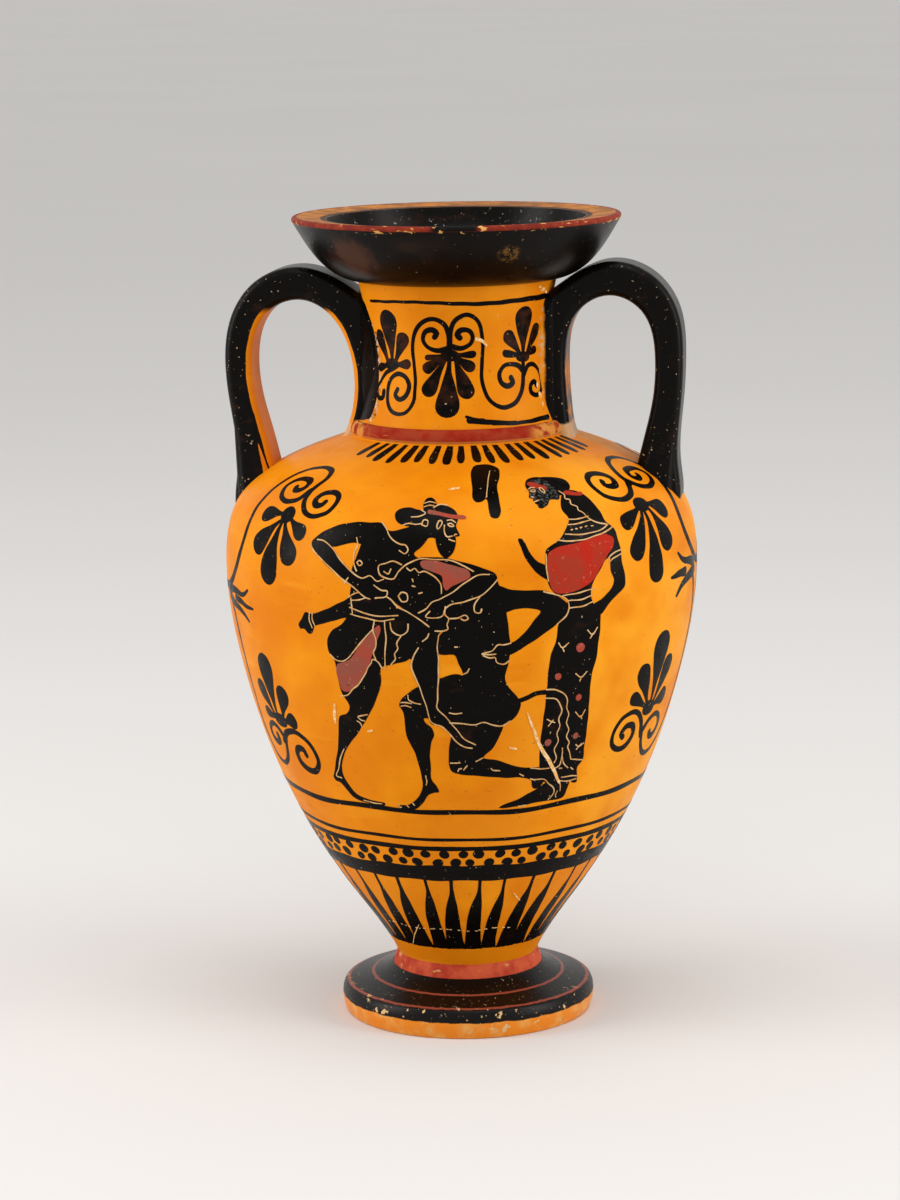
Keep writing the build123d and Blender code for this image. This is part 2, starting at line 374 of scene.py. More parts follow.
class Shader:
    """A material made of nodes that read the object's own coordinates, in millimetres."""

    def __init__(self, name, roughness=0.5, specular=0.5, coat=0.0):
        self.material = bpy.data.materials.new(name)
        self.material.use_nodes = True
        self.tree = self.material.node_tree
        self.tree.nodes.clear()
        self.out = self.tree.nodes.new("ShaderNodeOutputMaterial")
        self.bsdf = self.tree.nodes.new("ShaderNodeBsdfPrincipled")
        self.bsdf.inputs["Roughness"].default_value = roughness
        self.bsdf.inputs["Specular IOR Level"].default_value = specular
        self.bsdf.inputs["Coat Weight"].default_value = coat
        self.tree.links.new(self.bsdf.outputs[0], self.out.inputs[0])
        scaled = self.tree.nodes.new("ShaderNodeVectorMath")
        scaled.operation = "SCALE"
        scaled.inputs["Scale"].default_value = 1 / MM
        self.link(self.tree.nodes.new("ShaderNodeTexCoord").outputs["Object"], scaled.inputs[0])
        self.where = scaled.outputs[0]
        split = self.tree.nodes.new("ShaderNodeSeparateXYZ")
        self.link(self.where, split.inputs[0])
        self.x, self.y, self.z = split.outputs
        self.radius = self.math("SQRT", self.plus(self.times(self.x, self.x),
                                                  self.times(self.y, self.y)))

    def link(self, value, socket):
        if isinstance(value, bpy.types.NodeSocket):
            self.tree.links.new(value, socket)
        else:
            socket.default_value = value

    def math(self, operation, *values):
        made = self.tree.nodes.new("ShaderNodeMath")
        made.operation = operation
        for value, socket in zip(values, made.inputs):
            self.link(value, socket)
        return made.outputs[0]

    def times(self, *values):
        return self.math("MULTIPLY", *values)

    def plus(self, *values):
        return self.math("ADD", *values)

    def less(self, *values):
        return self.math("SUBTRACT", *values)

    def most(self, *values):
        return self.math("MAXIMUM", *values)

    def noise(self, size, detail=3.0, rough=0.55, stretch=(1, 1, 1), seed=0.0, warp=0.0):
        """Noise from 0 to 1 whose features are about size millimetres across."""
        moved = self.tree.nodes.new("ShaderNodeMapping")
        moved.inputs["Scale"].default_value = [1 / s for s in stretch]
        moved.inputs["Location"].default_value = [step * seed for step in SEED_STRIDE]
        self.link(self.where, moved.inputs["Vector"])
        made = self.tree.nodes.new("ShaderNodeTexNoise")
        made.inputs["Scale"].default_value = 1 / size
        made.inputs["Detail"].default_value = detail
        made.inputs["Roughness"].default_value = rough
        made.inputs["Distortion"].default_value = warp
        self.link(moved.outputs[0], made.inputs["Vector"])
        return made.outputs["Fac"]

    def step(self, value, low, high, to_low=0.0, to_high=1.0):
        """A soft step from to_low to to_high as value goes from low to high."""
        made = self.tree.nodes.new("ShaderNodeMapRange")
        made.interpolation_type = "SMOOTHSTEP"
        for name, given in (("Value", value), ("From Min", low), ("From Max", high),
                            ("To Min", to_low), ("To Max", to_high)):
            self.link(given, made.inputs[name])
        return made.outputs[0]

    def patches(self, low, high, size, *given, **more):
        """Noise stepped from low to high, which leaves soft patches."""
        return self.step(self.noise(size, *given, **more), low, high)

    def near(self, centre, reach):
        """1 at a place in millimetres, fading unevenly to 0 at reach."""
        apart = self.tree.nodes.new("ShaderNodeVectorMath")
        apart.operation = "DISTANCE"
        self.link(self.where, apart.inputs[0])
        apart.inputs[1].default_value = centre
        uneven = self.plus(apart.outputs["Value"], self.times(self.noise(5, 3, seed=30.1), reach))
        return self.step(uneven, reach * 1.5, reach * 0.9)

    def mix(self, share, first, second):
        made = self.tree.nodes.new("ShaderNodeMix")
        made.data_type = "RGBA"
        self.link(share, made.inputs[0])
        for value, socket in ((first, made.inputs[6]), (second, made.inputs[7])):
            self.link(value if isinstance(value, bpy.types.NodeSocket) else (*value, 1), socket)
        return made.outputs[2]

    def finish(self, colour, roughness=None, height=None, bump=0.1, distance=0.2):
        """Links the colour, and the roughness and the height in millimetres where they are given."""
        self.link(colour, self.bsdf.inputs["Base Color"])
        if roughness is not None:
            self.link(roughness, self.bsdf.inputs["Roughness"])
        if height is not None:
            made = self.tree.nodes.new("ShaderNodeBump")
            made.inputs["Strength"].default_value = bump
            made.inputs["Distance"].default_value = distance * MM
            self.link(height, made.inputs["Height"])
            self.link(made.outputs[0], self.bsdf.inputs["Normal"])
        return self.material

    def matt(self, colour, seed, roughness, relief, bump, distance):
        """Finishes a matt look: its roughness range, and its relief as grain size, detail and seed."""
        rough = self.step(self.noise(2, 2, seed=seed), 0.3, 0.7, *roughness)
        size, detail, relief_seed = relief
        return self.finish(colour, rough, self.noise(size, detail, seed=relief_seed), bump, distance)


CLAY = (0.80, 0.262, 0.003)
CLAY_DEEP = (0.69, 0.190, 0.002)
# The pale clay tone, used for random pale streaks and also for a painted highlight on the right side.
CLAY_PALE_AND_HIGHLIGHT = (0.90, 0.385, 0.020)
CLAY_CREAM = (0.62, 0.44, 0.25)
GLOSS = (0.0024, 0.0018, 0.0014)
GLOSS_BROWN = (0.040, 0.012, 0.005)
RED = (0.42, 0.020, 0.009)
RED_DULL = (0.33, 0.034, 0.016)
PINK_RED = (0.36, 0.060, 0.036)
PINK_DULL = (0.26, 0.075, 0.050)
GREY_WEAR = (0.085, 0.085, 0.080)
BARE_CLAY = (0.66, 0.42, 0.20)
SCUFF_CREAM, SCUFF_CLAY = (0.84, 0.62, 0.36), (0.74, 0.36, 0.08)
SEAM_CREAM, SEAM_CLAY, SEAM_GAP_SHADE = (0.66, 0.44, 0.24), (0.60, 0.19, 0.02), (0.035, 0.016, 0.008)
FOOT_CLAY, FOOT_RUBBED = (0.74, 0.22, 0.012), (0.72, 0.36, 0.09)
FOOT_RED, FOOT_CHIP = (0.33, 0.065, 0.035), (0.66, 0.44, 0.20)
RING_RED, RING_DULL, RING_CLAY = (0.30, 0.017, 0.006), (0.335, 0.042, 0.015), (0.62, 0.24, 0.045)
FILLET_RED, FILLET_DULL, FILLET_CLAY = (0.40, 0.040, 0.020), (0.56, 0.095, 0.038), (0.66, 0.34, 0.12)
RIM_CLAY, RIM_PALE, RIM_SHADE = (0.24, 0.085, 0.015), (0.50, 0.175, 0.018), (0.030, 0.009, 0.005)
LIP_RED, LIP_BRIGHT, LIP_CHIP = (0.17, 0.014, 0.007), (0.26, 0.030, 0.010), (0.66, 0.33, 0.09)
BOWL_THIN, BOWL_DUST = (0.034, 0.018, 0.010), (0.50, 0.46, 0.40)
BROWN_PATCH, GOLDEN_PATCH = (0.060, 0.020, 0.009), (0.16, 0.075, 0.012)

# Where the looks change, in millimetres: heights, and radii from the wheel's axis.
FOOT_BARE = 6.4
FOOT_SHOULDER = 9.0
FOOT_RINGS = ((43.0, 0.55), (34.2, 0.5))
RING_FOOT = 209.9
RIM_LEVEL, RIM_INNER = 283.2, 45.2
LIP_LEVEL, LIP_RADIUS = 283.0, 55.3
OPENING_MIDDLE, OPENING_LOW, OPENING_HIGH, OPENING_TOP = 54.5, 205.0, 240.0, 253.5


def clay_colour(s):
    """Burnished orange clay, mottled, with dark specks and pale scuffs, and a painted highlight that pales
    it towards the right side.
    """
    cloud = s.noise(38, 3, 0.6, seed=0.3)
    streak = s.noise(16, 3, 0.6, stretch=(3, 3, 0.5), seed=0.7)
    tone = s.mix(s.step(cloud, 0.35, 0.7), CLAY_DEEP, CLAY)
    # Pale streaks at random, and pale patches that grow towards the right side (x from 0 to 60 mm) as a
    # painted highlight.
    pale = s.most(s.times(s.step(streak, 0.5, 0.8), 0.4),
                  s.times(s.patches(0.42, 0.62, 45, 3, 0.6, seed=0.9), s.step(s.x, 0, 60, 0.1, 0.6)))
    tone = s.mix(pale, tone, CLAY_PALE_AND_HIGHLIGHT)
    speck = s.patches(0.70, 0.74, 1.3, 2, 0.5, seed=1.1)
    tone = s.mix(s.times(speck, 0.5), tone, (0.20, 0.07, 0.02))
    scuff = s.times(s.patches(0.71, 0.75, 0.9, 2, 0.6, seed=2.3),
                   s.patches(0.5, 0.62, 14, 2, seed=2.9))
    return s.mix(s.times(scuff, 0.7), tone, CLAY_CREAM)


def gloss_colour(s, worn=0.725, brown=0.42):
    """Black slip that thins to brown in streaks and has lost tiny flakes."""
    thin = s.times(s.step(s.noise(9, 4, 0.65, stretch=(1, 1, 0.6), seed=3.1), brown + 0.14, brown + 0.38),
                  s.step(s.noise(30, 2, seed=3.7), brown, brown + 0.28))
    tone = s.mix(thin, GLOSS, GLOSS_BROWN)
    pit = s.step(s.noise(1.1, 2, 0.55, seed=4.1), worn, worn + 0.02)
    return s.mix(s.times(pit, 0.7), tone, CLAY_CREAM)


def red_colour(s, strong, dull):
    """Matt added red, dusty, with flecks where it has worn off."""
    cloud = s.patches(0.35, 0.65, 8, 3, 0.6, seed=8.1)
    tone = s.mix(cloud, strong, dull)
    pale = s.patches(0.64, 0.72, 1.4, 3, 0.6, seed=8.5)
    tone = s.mix(s.times(pale, 0.5), tone, (0.60, 0.26, 0.16))
    dark = s.patches(0.66, 0.72, 2.4, 3, 0.6, seed=8.9)
    return s.mix(s.times(dark, 0.6), tone, (0.06, 0.02, 0.012))


def clay_relief(s):
    grain = s.noise(0.5, 3, 0.6, seed=5.3)
    turning = s.noise(2.2, 2, 0.5, stretch=(14, 14, 0.8), seed=5.9)
    return s.plus(s.times(grain, 0.25), turning)


def gloss_relief(s):
    return s.plus(s.noise(1.6, 3, 0.6, seed=7.1), s.times(s.noise(0.4, 2, seed=7.3), 0.3))


def clay_material():
    s = Shader("orange_clay", roughness=0.42, specular=0.05)
    rough = s.step(s.noise(7, 3, seed=6.1), 0.3, 0.7, 0.36, 0.50)
    return s.finish(clay_colour(s), rough, clay_relief(s), 0.35, 0.12)


def gloss_material(name, brown):
    s = Shader(name, roughness=0.30, specular=0.055)
    rough = s.step(s.noise(5, 3, 0.6, seed=6.7), 0.3, 0.75, 0.22, 0.42)
    return s.finish(gloss_colour(s, brown=brown), rough, gloss_relief(s), 0.35, 0.10)


def red_material(name, strong, dull):
    s = Shader(name, roughness=0.7, specular=0.04)
    rough = s.step(s.noise(3, 3, seed=9.1), 0.3, 0.7, 0.6, 0.8)
    return s.finish(red_colour(s, strong, dull), rough, s.noise(0.7, 3, seed=9.3), 0.4, 0.1)


def incised_material():
    """Lines cut through the slip, pale with ground clay."""
    s = Shader("incised_clay", roughness=0.8, specular=0.15)
    tone = s.mix(s.patches(0.4, 0.65, 2.5, 3, seed=9.7), BARE_CLAY, (0.55, 0.27, 0.08))
    return s.matt(tone, 9.9, (0.7, 0.9), (0.4, 2, 10.1), 0.4, 0.08)


def band(s, value, low, high, soft=0.25):
    """1 where value lies between low and high, with soft and slightly uneven edges."""
    shaken = s.plus(value, s.times(s.less(s.noise(3, 3, seed=11.3), 0.5), 0.8))
    return s.times(s.step(shaken, low - soft, low + soft), s.step(shaken, high - soft, high + soft, 1, 0))


def foot_material():
    """Black foot with two thin red rings; its lower edge is left in clay, and it is chipped."""
    s = Shader("foot_slip", roughness=0.35, specular=0.16)
    clay = s.mix(s.patches(0.45, 0.75, 6, 3, seed=12.1), FOOT_CLAY, FOOT_RUBBED)
    black = gloss_colour(s, 0.70)
    slip = s.step(s.plus(s.z, s.times(s.noise(7, 3, seed=12.5), 1.6)), FOOT_BARE, FOOT_BARE + 0.4)
    tone = s.mix(slip, clay, black)
    top = s.step(s.z, FOOT_SHOULDER, FOOT_SHOULDER + 0.6)
    for radius, half in FOOT_RINGS:
        ring = s.times(band(s, s.radius, radius - half, radius + half), top)
        tone = s.mix(s.times(ring, 0.85), tone, FOOT_RED)
    edge = s.times(s.step(s.radius, 40.5, 43.5), s.step(s.z, 12.5, 11.0))
    chip = s.times(s.patches(0.635, 0.65, 4.2, 4, 0.6, seed=12.9, warp=0.4), edge)
    small = s.times(s.patches(0.69, 0.71, 1.7, 3, 0.6, seed=13.3), s.step(s.radius, 28, 38))
    lost = s.most(chip, s.times(small, 0.8))
    tone = s.mix(lost, tone, FOOT_CHIP)
    height = s.less(gloss_relief(s), s.times(lost, 1.5))
    rough = s.step(lost, 0, 1, 0.34, 0.85)
    return s.finish(tone, rough, height, 0.5, 0.15)


def mouth_material():
    """Black inside and out; the flat rim is left in worn clay between a dark red lip and the bowl."""
    s = Shader("mouth_slip", roughness=0.32, specular=0.10)
    black = gloss_colour(s, 0.735)
    brown = s.times(s.patches(0.5, 0.72, 26, 3, 0.6, seed=14.1), s.step(s.z, 283, 276))
    tone = s.mix(s.times(brown, 0.5), black, BOWL_THIN)
    tone = s.mix(s.times(s.near((-30, -43, 273), 11), 0.8), tone, BROWN_PATCH)
    fired = s.times(s.near((24, -46, 275), 5), s.patches(0.45, 0.6, 1.8, 3, 0.6, seed=14.3))
    tone = s.mix(s.times(fired, 0.8), tone, GOLDEN_PATCH)
    dust = s.times(s.patches(0.66, 0.69, 1.5, 3, 0.6, seed=14.7), s.step(s.radius, 46, 43))
    tone = s.mix(s.times(dust, s.step(s.z, 266, 276, 0, 0.8)), tone, BOWL_DUST)
    rim = s.times(s.step(s.z, RIM_LEVEL, RIM_LEVEL + 0.4), s.step(s.radius, RIM_INNER, RIM_INNER + 0.4))
    worn = s.mix(s.patches(0.38, 0.66, 9, 4, 0.65, seed=14.5), RIM_CLAY, RIM_PALE)
    tone = s.mix(rim, tone, worn)
    edge = s.times(band(s, s.radius, RIM_INNER, RIM_INNER + 2.2), rim)
    tone = s.mix(s.times(edge, 0.9), tone, RIM_SHADE)
    lip = s.times(s.step(s.z, LIP_LEVEL, LIP_LEVEL + 0.4), s.step(s.radius, LIP_RADIUS, LIP_RADIUS + 0.4))
    red = s.mix(s.patches(0.35, 0.7, 4, 3, seed=14.9), LIP_RED, LIP_BRIGHT)
    tone = s.mix(lip, tone, red)
    bare = s.times(s.times(band(s, s.x, -1, 15, 1.5), s.step(s.y, 0, -9)), lip)
    tone = s.mix(bare, tone, GLOSS)
    chip = s.times(s.patches(0.61, 0.63, 2.6, 4, 0.62, stretch=(1.4, 1.4, 0.6), seed=15.3, warp=0.5),
                  s.times(s.step(s.radius, 54.9, 55.5), s.step(s.z, 282.2, 282.9)))
    tone = s.mix(chip, tone, LIP_CHIP)
    height = s.less(gloss_relief(s), s.times(chip, 1.2))
    rough = s.most(s.times(s.most(rim, lip), 0.55), 0.30)
    return s.finish(tone, rough, height, 0.45, 0.12)


def ring_material():
    """The neck ring's worn dark red, lost towards the handles."""
    s = Shader("ring_red", roughness=0.65, specular=0.05)
    tone = s.mix(s.patches(0.35, 0.65, 5, 3, 0.6, seed=16.1), RING_RED, RING_DULL)
    bare = s.patches(0.63, 0.69, 5, 4, 0.65, stretch=(2, 2, 0.7), seed=16.5)
    near_handle = s.step(s.math("ABSOLUTE", s.x), 27.0, 31.0)
    lost = s.most(s.times(bare, 0.7),
                  s.times(near_handle, s.patches(0.40, 0.55, 4, 3, seed=16.9)))
    low = s.step(s.z, RING_FOOT, RING_FOOT + 0.4, 0.55, 0)
    tone = s.mix(s.most(lost, low), tone, RING_CLAY)
    return s.matt(tone, 17.1, (0.55, 0.75), (1.5, 3, 17.3), 0.4, 0.15)


def fillet_material():
    """The foot fillet's red slip, rubbed through to clay."""
    s = Shader("fillet_red", roughness=0.6, specular=0.05)
    tone = s.mix(s.patches(0.35, 0.65, 7, 3, 0.6, seed=18.1), FILLET_RED, FILLET_DULL)
    bare = s.patches(0.64, 0.68, 3.2, 4, 0.65, stretch=(1.6, 1.6, 0.8), seed=18.5)
    tone = s.mix(s.times(bare, 0.8), tone, FILLET_CLAY)
    return s.matt(tone, 18.9, (0.5, 0.7), (1.5, 3, 19.1), 0.4, 0.15)


def opening_face(s, side, bound):
    """1 on a strap's face towards its opening, where it turns inwards by more than bound."""
    geometry = s.tree.nodes.new("ShaderNodeNewGeometry")
    facing = s.tree.nodes.new("ShaderNodeSeparateXYZ")
    s.link(geometry.outputs["Normal"], facing.inputs[0])
    inward_x = s.less(side * OPENING_MIDDLE, s.x)
    level = s.math("MINIMUM", s.most(s.z, OPENING_LOW), OPENING_HIGH)
    inward_z = s.less(level, s.z)
    squares = s.plus(s.times(inward_x, inward_x), s.times(inward_z, inward_z))
    along = s.plus(s.times(inward_x, facing.outputs[0]),
                   s.times(inward_z, facing.outputs[2]))
    turned = s.math("DIVIDE", along, s.math("SQRT", squares))
    shaken = s.plus(turned, s.times(s.less(s.noise(9, 3, seed=20.3), 0.5), 0.25))
    return s.times(s.step(shaken, bound, bound + 0.05), s.step(s.z, OPENING_TOP, OPENING_TOP - 3.0))


def handle_material(name, side, bound):
    """A black strap whose face towards the opening is left in clay."""
    s = Shader(name, roughness=0.30, specular=0.09)
    clay = opening_face(s, side, bound)
    tone = s.mix(clay, gloss_colour(s, 0.70), clay_colour(s))
    end = s.times(s.step(s.math("ABSOLUTE", s.x), 43.5, 42.0),
                 s.step(s.plus(s.z, s.times(s.noise(5, 3, seed=21.3), 3)), 214.6, 213.6))
    tone = s.mix(s.times(end, 0.85), tone, (0.66, 0.38, 0.18))
    rough = s.step(clay, 0, 1, 0.30, 0.48)
    return s.finish(tone, rough, gloss_relief(s), 0.5, 0.15)


def root_material(name, side, bound, edge):
    """Black slip brushed down a handle's root as far as a slanting edge, with pale bits along it."""
    s = Shader(name, roughness=0.34, specular=0.09)
    away = s.plus(s.math("ABSOLUTE", s.x), s.times(s.noise(6, 3, seed=22.5), 4))
    slant = s.times(s.less(OPENING_LOW, s.z), 0.6)
    inner = s.less(s.plus(away, slant), edge + 2)
    clay = s.most(s.step(inner, 0.4, -0.4), opening_face(s, side, bound))
    tone = s.mix(clay, gloss_colour(s, 0.69), clay_colour(s))
    chip = s.times(s.patches(0.60, 0.63, 2.4, 4, 0.6, seed=22.9), s.step(inner, 3.0, 0.5))
    tone = s.mix(chip, tone, BARE_CLAY)
    return s.finish(tone, s.step(clay, 0, 1, 0.32, 0.5), gloss_relief(s), 0.5, 0.15)


def luting_material():
    """Luting smeared with slip where it climbs the strap, bare and rubbed pale where it meets the neck."""
    s = Shader("luting_slip", roughness=0.45, specular=0.06)
    away = s.plus(s.math("ABSOLUTE", s.x), s.times(s.less(s.noise(5, 3, seed=24.1), 0.5), 2))
    rubbed = s.mix(s.patches(0.45, 0.65, 2.2, 4, 0.65, seed=24.5), CLAY, BARE_CLAY)
    tone = s.mix(s.step(away, 31.0, 32.2), rubbed, gloss_colour(s, 0.69))
    return s.finish(tone, s.step(away, 31.0, 32.2, 0.6, 0.32), gloss_relief(s), 0.5, 0.15)


def seam_material():
    """The open seam beside a handle: pale crumbs of clay, dark spots of painted shade for its gaps, and
    rubbed orange.
    """
    s = Shader("seam_clay", roughness=0.85, specular=0.03)
    tone = s.mix(s.patches(0.42, 0.58, 2.4, 4, 0.65, seed=25.1), SEAM_CREAM, SEAM_CLAY)
    # Dark spots painted as the shade inside the seam's gaps.
    tone = s.mix(s.patches(0.56, 0.62, 2.0, 4, 0.65, seed=25.7), tone, SEAM_GAP_SHADE)
    return s.matt(tone, 25.9, (0.75, 0.9), (0.8, 3, 26.1), 0.6, 0.2)


def wear_material():
    """Scuffs through the slip and into the clay, cream and chalky."""
    s = Shader("scuffed_cream", roughness=0.9, specular=0.03)
    tone = s.mix(s.patches(0.40, 0.60, 1.3, 3, 0.6, seed=27.1), SCUFF_CREAM, SCUFF_CLAY)
    return s.matt(tone, 27.5, (0.8, 0.95), (0.6, 3, 27.9), 0.5, 0.1)


def flesh_material():
    """The last of a white flesh colour, gone grey and speckled over the black."""
    s = Shader("worn_white", roughness=0.6, specular=0.05)
    tone = s.mix(s.patches(0.47, 0.62, 1.0, 4, 0.7, seed=28.1), GLOSS, GREY_WEAR)
    return s.matt(tone, 28.5, (0.5, 0.7), (0.5, 3, 28.9), 0.4, 0.1)


CLAY_LOOK = clay_material()
GLOSS_LOOK = gloss_material("black_gloss", 0.42)
THIN_LOOK = gloss_material("thin_black_gloss", 0.30)
RED_LOOK = red_material("added_red", RED, RED_DULL)
PINK_LOOK = red_material("dull_added_red", PINK_RED, PINK_DULL)
INCISED_LOOK = incised_material()
LUTING_LOOK = luting_material()
SEAM_LOOK = seam_material()
WEAR_LOOK = wear_material()
FLESH_LOOK = flesh_material()
NODE_LOOKS = {
    "body": CLAY_LOOK,
    "neck": CLAY_LOOK,
    "foot": foot_material(),
    "mouth": mouth_material(),
    "foot_fillet": fillet_material(),
    "neck_ring": ring_material(),
    "left_handle": handle_material("left_handle_slip", -1, 0.45),
    "right_handle": handle_material("right_handle_slip", 1, 0.97),
    "left_handle_neck_luting": GLOSS_LOOK,
    "right_handle_neck_luting": LUTING_LOOK,
    "left_handle_shoulder_luting": root_material("left_root_slip", -1, 0.45, 68.0),
    "right_handle_shoulder_luting": root_material("right_root_slip", 1, 0.97, 62.0),
}
for node, look in NODE_LOOKS.items():
    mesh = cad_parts[node].data
    mesh.materials.clear()
    mesh.materials.append(look)


# ---------------------------------------------------------------- the painting: bands and rays

def lower_bands():
    """Lines under the figures, which dip a little towards the front."""
    lines = Paint(BODY)
    for up, width, wave in ((2.4, 2.1, 0.8), (-10.0, 1.4, 0.5), (-14.3, 2.1, 0.3)):
        lines.band(up, width, wave, -math.pi / 2)
    lines.build("ground_lines", GLOSS_LOOK)
    thick = Paint(BODY)
    thick.band(-26.5, 6.9, 0.2, 0.9)
    thick.build("band_above_rays", GLOSS_LOOK)


def dot_rows():
    """Two staggered rows of flattened dots, right round."""
    dots = Paint(BODY)
    count, rows, half_width, half_height = 56, (-17.3, -21.2), 2.75, 1.85
    for row, up in enumerate(rows):
        for i in range(count):
            swing = math.sin(i * 2.39 + row * 1.7)
            across = (i + 0.5 * row + 0.10 * swing) * TURN / count
            size = 1 + 0.11 * math.sin(i * 4.1 + row)
            place = across, up + 0.3 * math.sin(i * 1.31 + row)
            dots.dot(place, half_width * size, half_height * size, 8 * swing)
    dots.build("dot_rows", GLOSS_LOOK)


def rays():
    """Rays that hang by a thin stem, swell towards their own left and merge at the foot."""
    paint = Paint(BODY)
    count, top, foot = 32, -28.5, -68.6
    pitch = TURN / count
    right = ((1, top), (1, top), (1.1, -35.5), (2.1, -41), (2.8, -48), (3.3, -55), (4.6, -62), (6.8, foot))
    left = ((-11, foot), (-9.8, -62), (-8.4, -55), (-6.6, -48), (-3.6, -41), (-1.2, -35.5), (-1, top),
            (-1, top))
    for i in range(count):
        tip = (i + 0.13) * pitch + 1.1 * math.sin(i * 2.7)
        swell = 1 + 0.10 * math.sin(i * 1.9 + 1)
        paint.fill(outline([(tip + x * swell, up) for x, up in right + left], 1.5))
    paint.band(-68.4, 4.4, 0.25, 2.2)
    paint.build("rays", GLOSS_LOOK)


def tongues(name, first, count):
    """A row of tongues under the neck, between the two handles."""
    paint = Paint(BODY)
    pitch, top, tip = 8.5, 151.6, 138.7
    for i in range(count):
        place = 2 * i / (count - 1) - 1
        mid = first + i * pitch + 0.5 * math.sin(i * 2.2)
        half = 2.55 + 0.25 * math.sin(i * 3.7)
        low = tip + 0.6 * math.sin(i * 1.6) + 2.6 * max(0, abs(place) - 0.8) * 5
        end = mid + 1.6 * place
        paint.fill(outline([
            (mid - half * 0.8, top), (mid - half * 0.8, top), (end - half, low + 4),
            (end - half * 0.6, low + 0.6), (end, low), (end + half * 0.6, low + 0.6),
            (end + half, low + 4), (mid + half * 0.8, top), (mid + half * 0.8, top),
        ], 1.2))
    paint.build(name, GLOSS_LOOK)


lower_bands()
dot_rows()
rays()
tongues("front_tongues", -55.5, 20)
tongues("back_tongues", TURN / 2 - 80.0, 20)


# ---------------------------------------------------------------- the painting: ornament

def leaf(paint, root, end, width, stem=1.5, bend=0.0):
    """A palmette leaf: a stem at the root that swells to a round end."""
    root, end = np.array(root, float), np.array(end, float)
    middle = (root + end) / 2 + bend * np.array([root[1] - end[1], end[0] - root[0]])
    paint.stroke(
        curve([root, middle, end]),
        lambda t: stem + (width - stem) * (3 * t ** 2 - 2 * t ** 3) ** 1.15,
    )


def draw_palmette(paint, heart, size, leaves):
    paint.dot(heart, *size)
    for root, end, width in leaves:
        leaf(paint, root, end, width)


def draw_scrolls(paint, lines):
    for width, line in lines:
        paint.stroke(curve(line, 0.8), lambda t: width * (1 + 0.16 * math.sin(7 * t + width)))


LEFT_HANGING = ((-60.3, 106.8), (3.7, 3.2), (
    ((-63, 106.8), (-72.6, 105.6), 6.2),
    ((-62.5, 104.5), (-71.8, 95), 8),
    ((-61.5, 104), (-64.8, 86.6), 9.5),
    ((-59.8, 104), (-54.6, 93.4), 8),
    ((-57.5, 105.5), (-50.8, 101.4), 5.8),
))
LEFT_UPRIGHT = ((-73.3, 31), (4.6, 2.7), (
    ((-74.8, 32.5), (-75.2, 51), 10),
    ((-77, 32.5), (-82.6, 41.9), 6.8),
    ((-70.5, 32.5), (-66.9, 41.2), 7.6),
    ((-76.5, 31.3), (-83.4, 32.7), 4.6),
    ((-70, 31), (-64.4, 32.2), 6.2),
))
LEFT_SCROLLS = (
    (2.4, [(-57.3, 118), (-60.2, 113.2), (-66, 111.6), (-71.8, 113.4), (-75, 117.8), (-73, 121.7),
        (-68, 123.2), (-63.2, 122.3), (-62, 119.4), (-63.8, 117.2), (-66.5, 117), (-68, 118.4)]),
    (2.2, [(-57, 118), (-56, 113.3), (-52.4, 109), (-47, 107.7), (-41.6, 109.6), (-39.8, 113.6),
        (-41.2, 117.4), (-45.2, 118.8), (-49.3, 117.2), (-50.5, 114.2), (-48.6, 112.2), (-46, 112.4),
        (-45.2, 114)]),
    (2.3, [(-57, 117.5), (-56.2, 121), (-55.6, 125), (-57.6, 128.8), (-63, 131), (-70, 130.3), (-76, 127.3),
        (-80, 122.4), (-82, 116), (-82.7, 108), (-83.1, 100), (-84.2, 95), (-86.6, 89.6), (-90, 84.2),
        (-94.5, 79.8), (-99.5, 77.2), (-105, 75.8), (-112, 75), (-120, 74.6), (-130.4, 74.4)]),
    (1.7, [(-101, 74.6), (-97.5, 66), (-95.8, 58), (-95.3, 50), (-95.8, 40), (-96.6, 30), (-96.2, 22.5),
        (-94.2, 16.8), (-90.3, 13.3), (-85.5, 12.3), (-80.6, 13.9), (-77, 17.6), (-75.2, 21.5),
        (-74.6, 24.5)]),
    (2.4, [(-74.6, 23.5), (-78.2, 27.2), (-83, 28.2), (-86.8, 26), (-87, 22.6), (-84, 20.7), (-81, 21.8),
        (-81, 24)]),
    (2.4, [(-76, 22.5), (-71.5, 26.6), (-65, 28), (-59, 26), (-55.4, 22), (-54.9, 17.2), (-58, 13.7),
        (-63, 13.2), (-67.3, 15.6), (-68.3, 19), (-66, 21.6), (-62.6, 21.4), (-61.6, 19.4)]),
)
LEFT_BUD = (
    (3.2, [(-102, 74.5), (-97, 75.6), (-91, 75.6), (-85.5, 75), (-82, 75.9), (-79.5, 77.4)]),
    (2.6, [(-92, 73), (-86.5, 72.4), (-82, 71.6), (-76.3, 71.4)]),
    (3.2, [(-101, 72.5), (-94, 70.4), (-88, 69.3), (-84.5, 68.2), (-81, 66.3)]),
)
RIGHT_HANGING = ((88.3, 108), (4.5, 3), (
    ((86, 107.5), (76, 102.9), 5.8),
    ((86.5, 106), (78.4, 92.8), 7.4),
    ((87.8, 106), (88.1, 84.4), 8.6),
    ((91, 106), (96.2, 94.1), 8.2),
    ((91.5, 108), (99.8, 104.6), 7.4),
))
RIGHT_UPRIGHT = ((95, 33.8), (4.2, 2.9), (
    ((95.5, 36), (95.9, 56.9), 10.6),
    ((92.7, 35.5), (86.3, 48), 7.8),
    ((97.8, 36), (103.8, 48.5), 7.6),
    ((92, 34.6), (83.3, 39.2), 5.2),
    ((98, 34.4), (105.6, 36.8), 6.4),
))
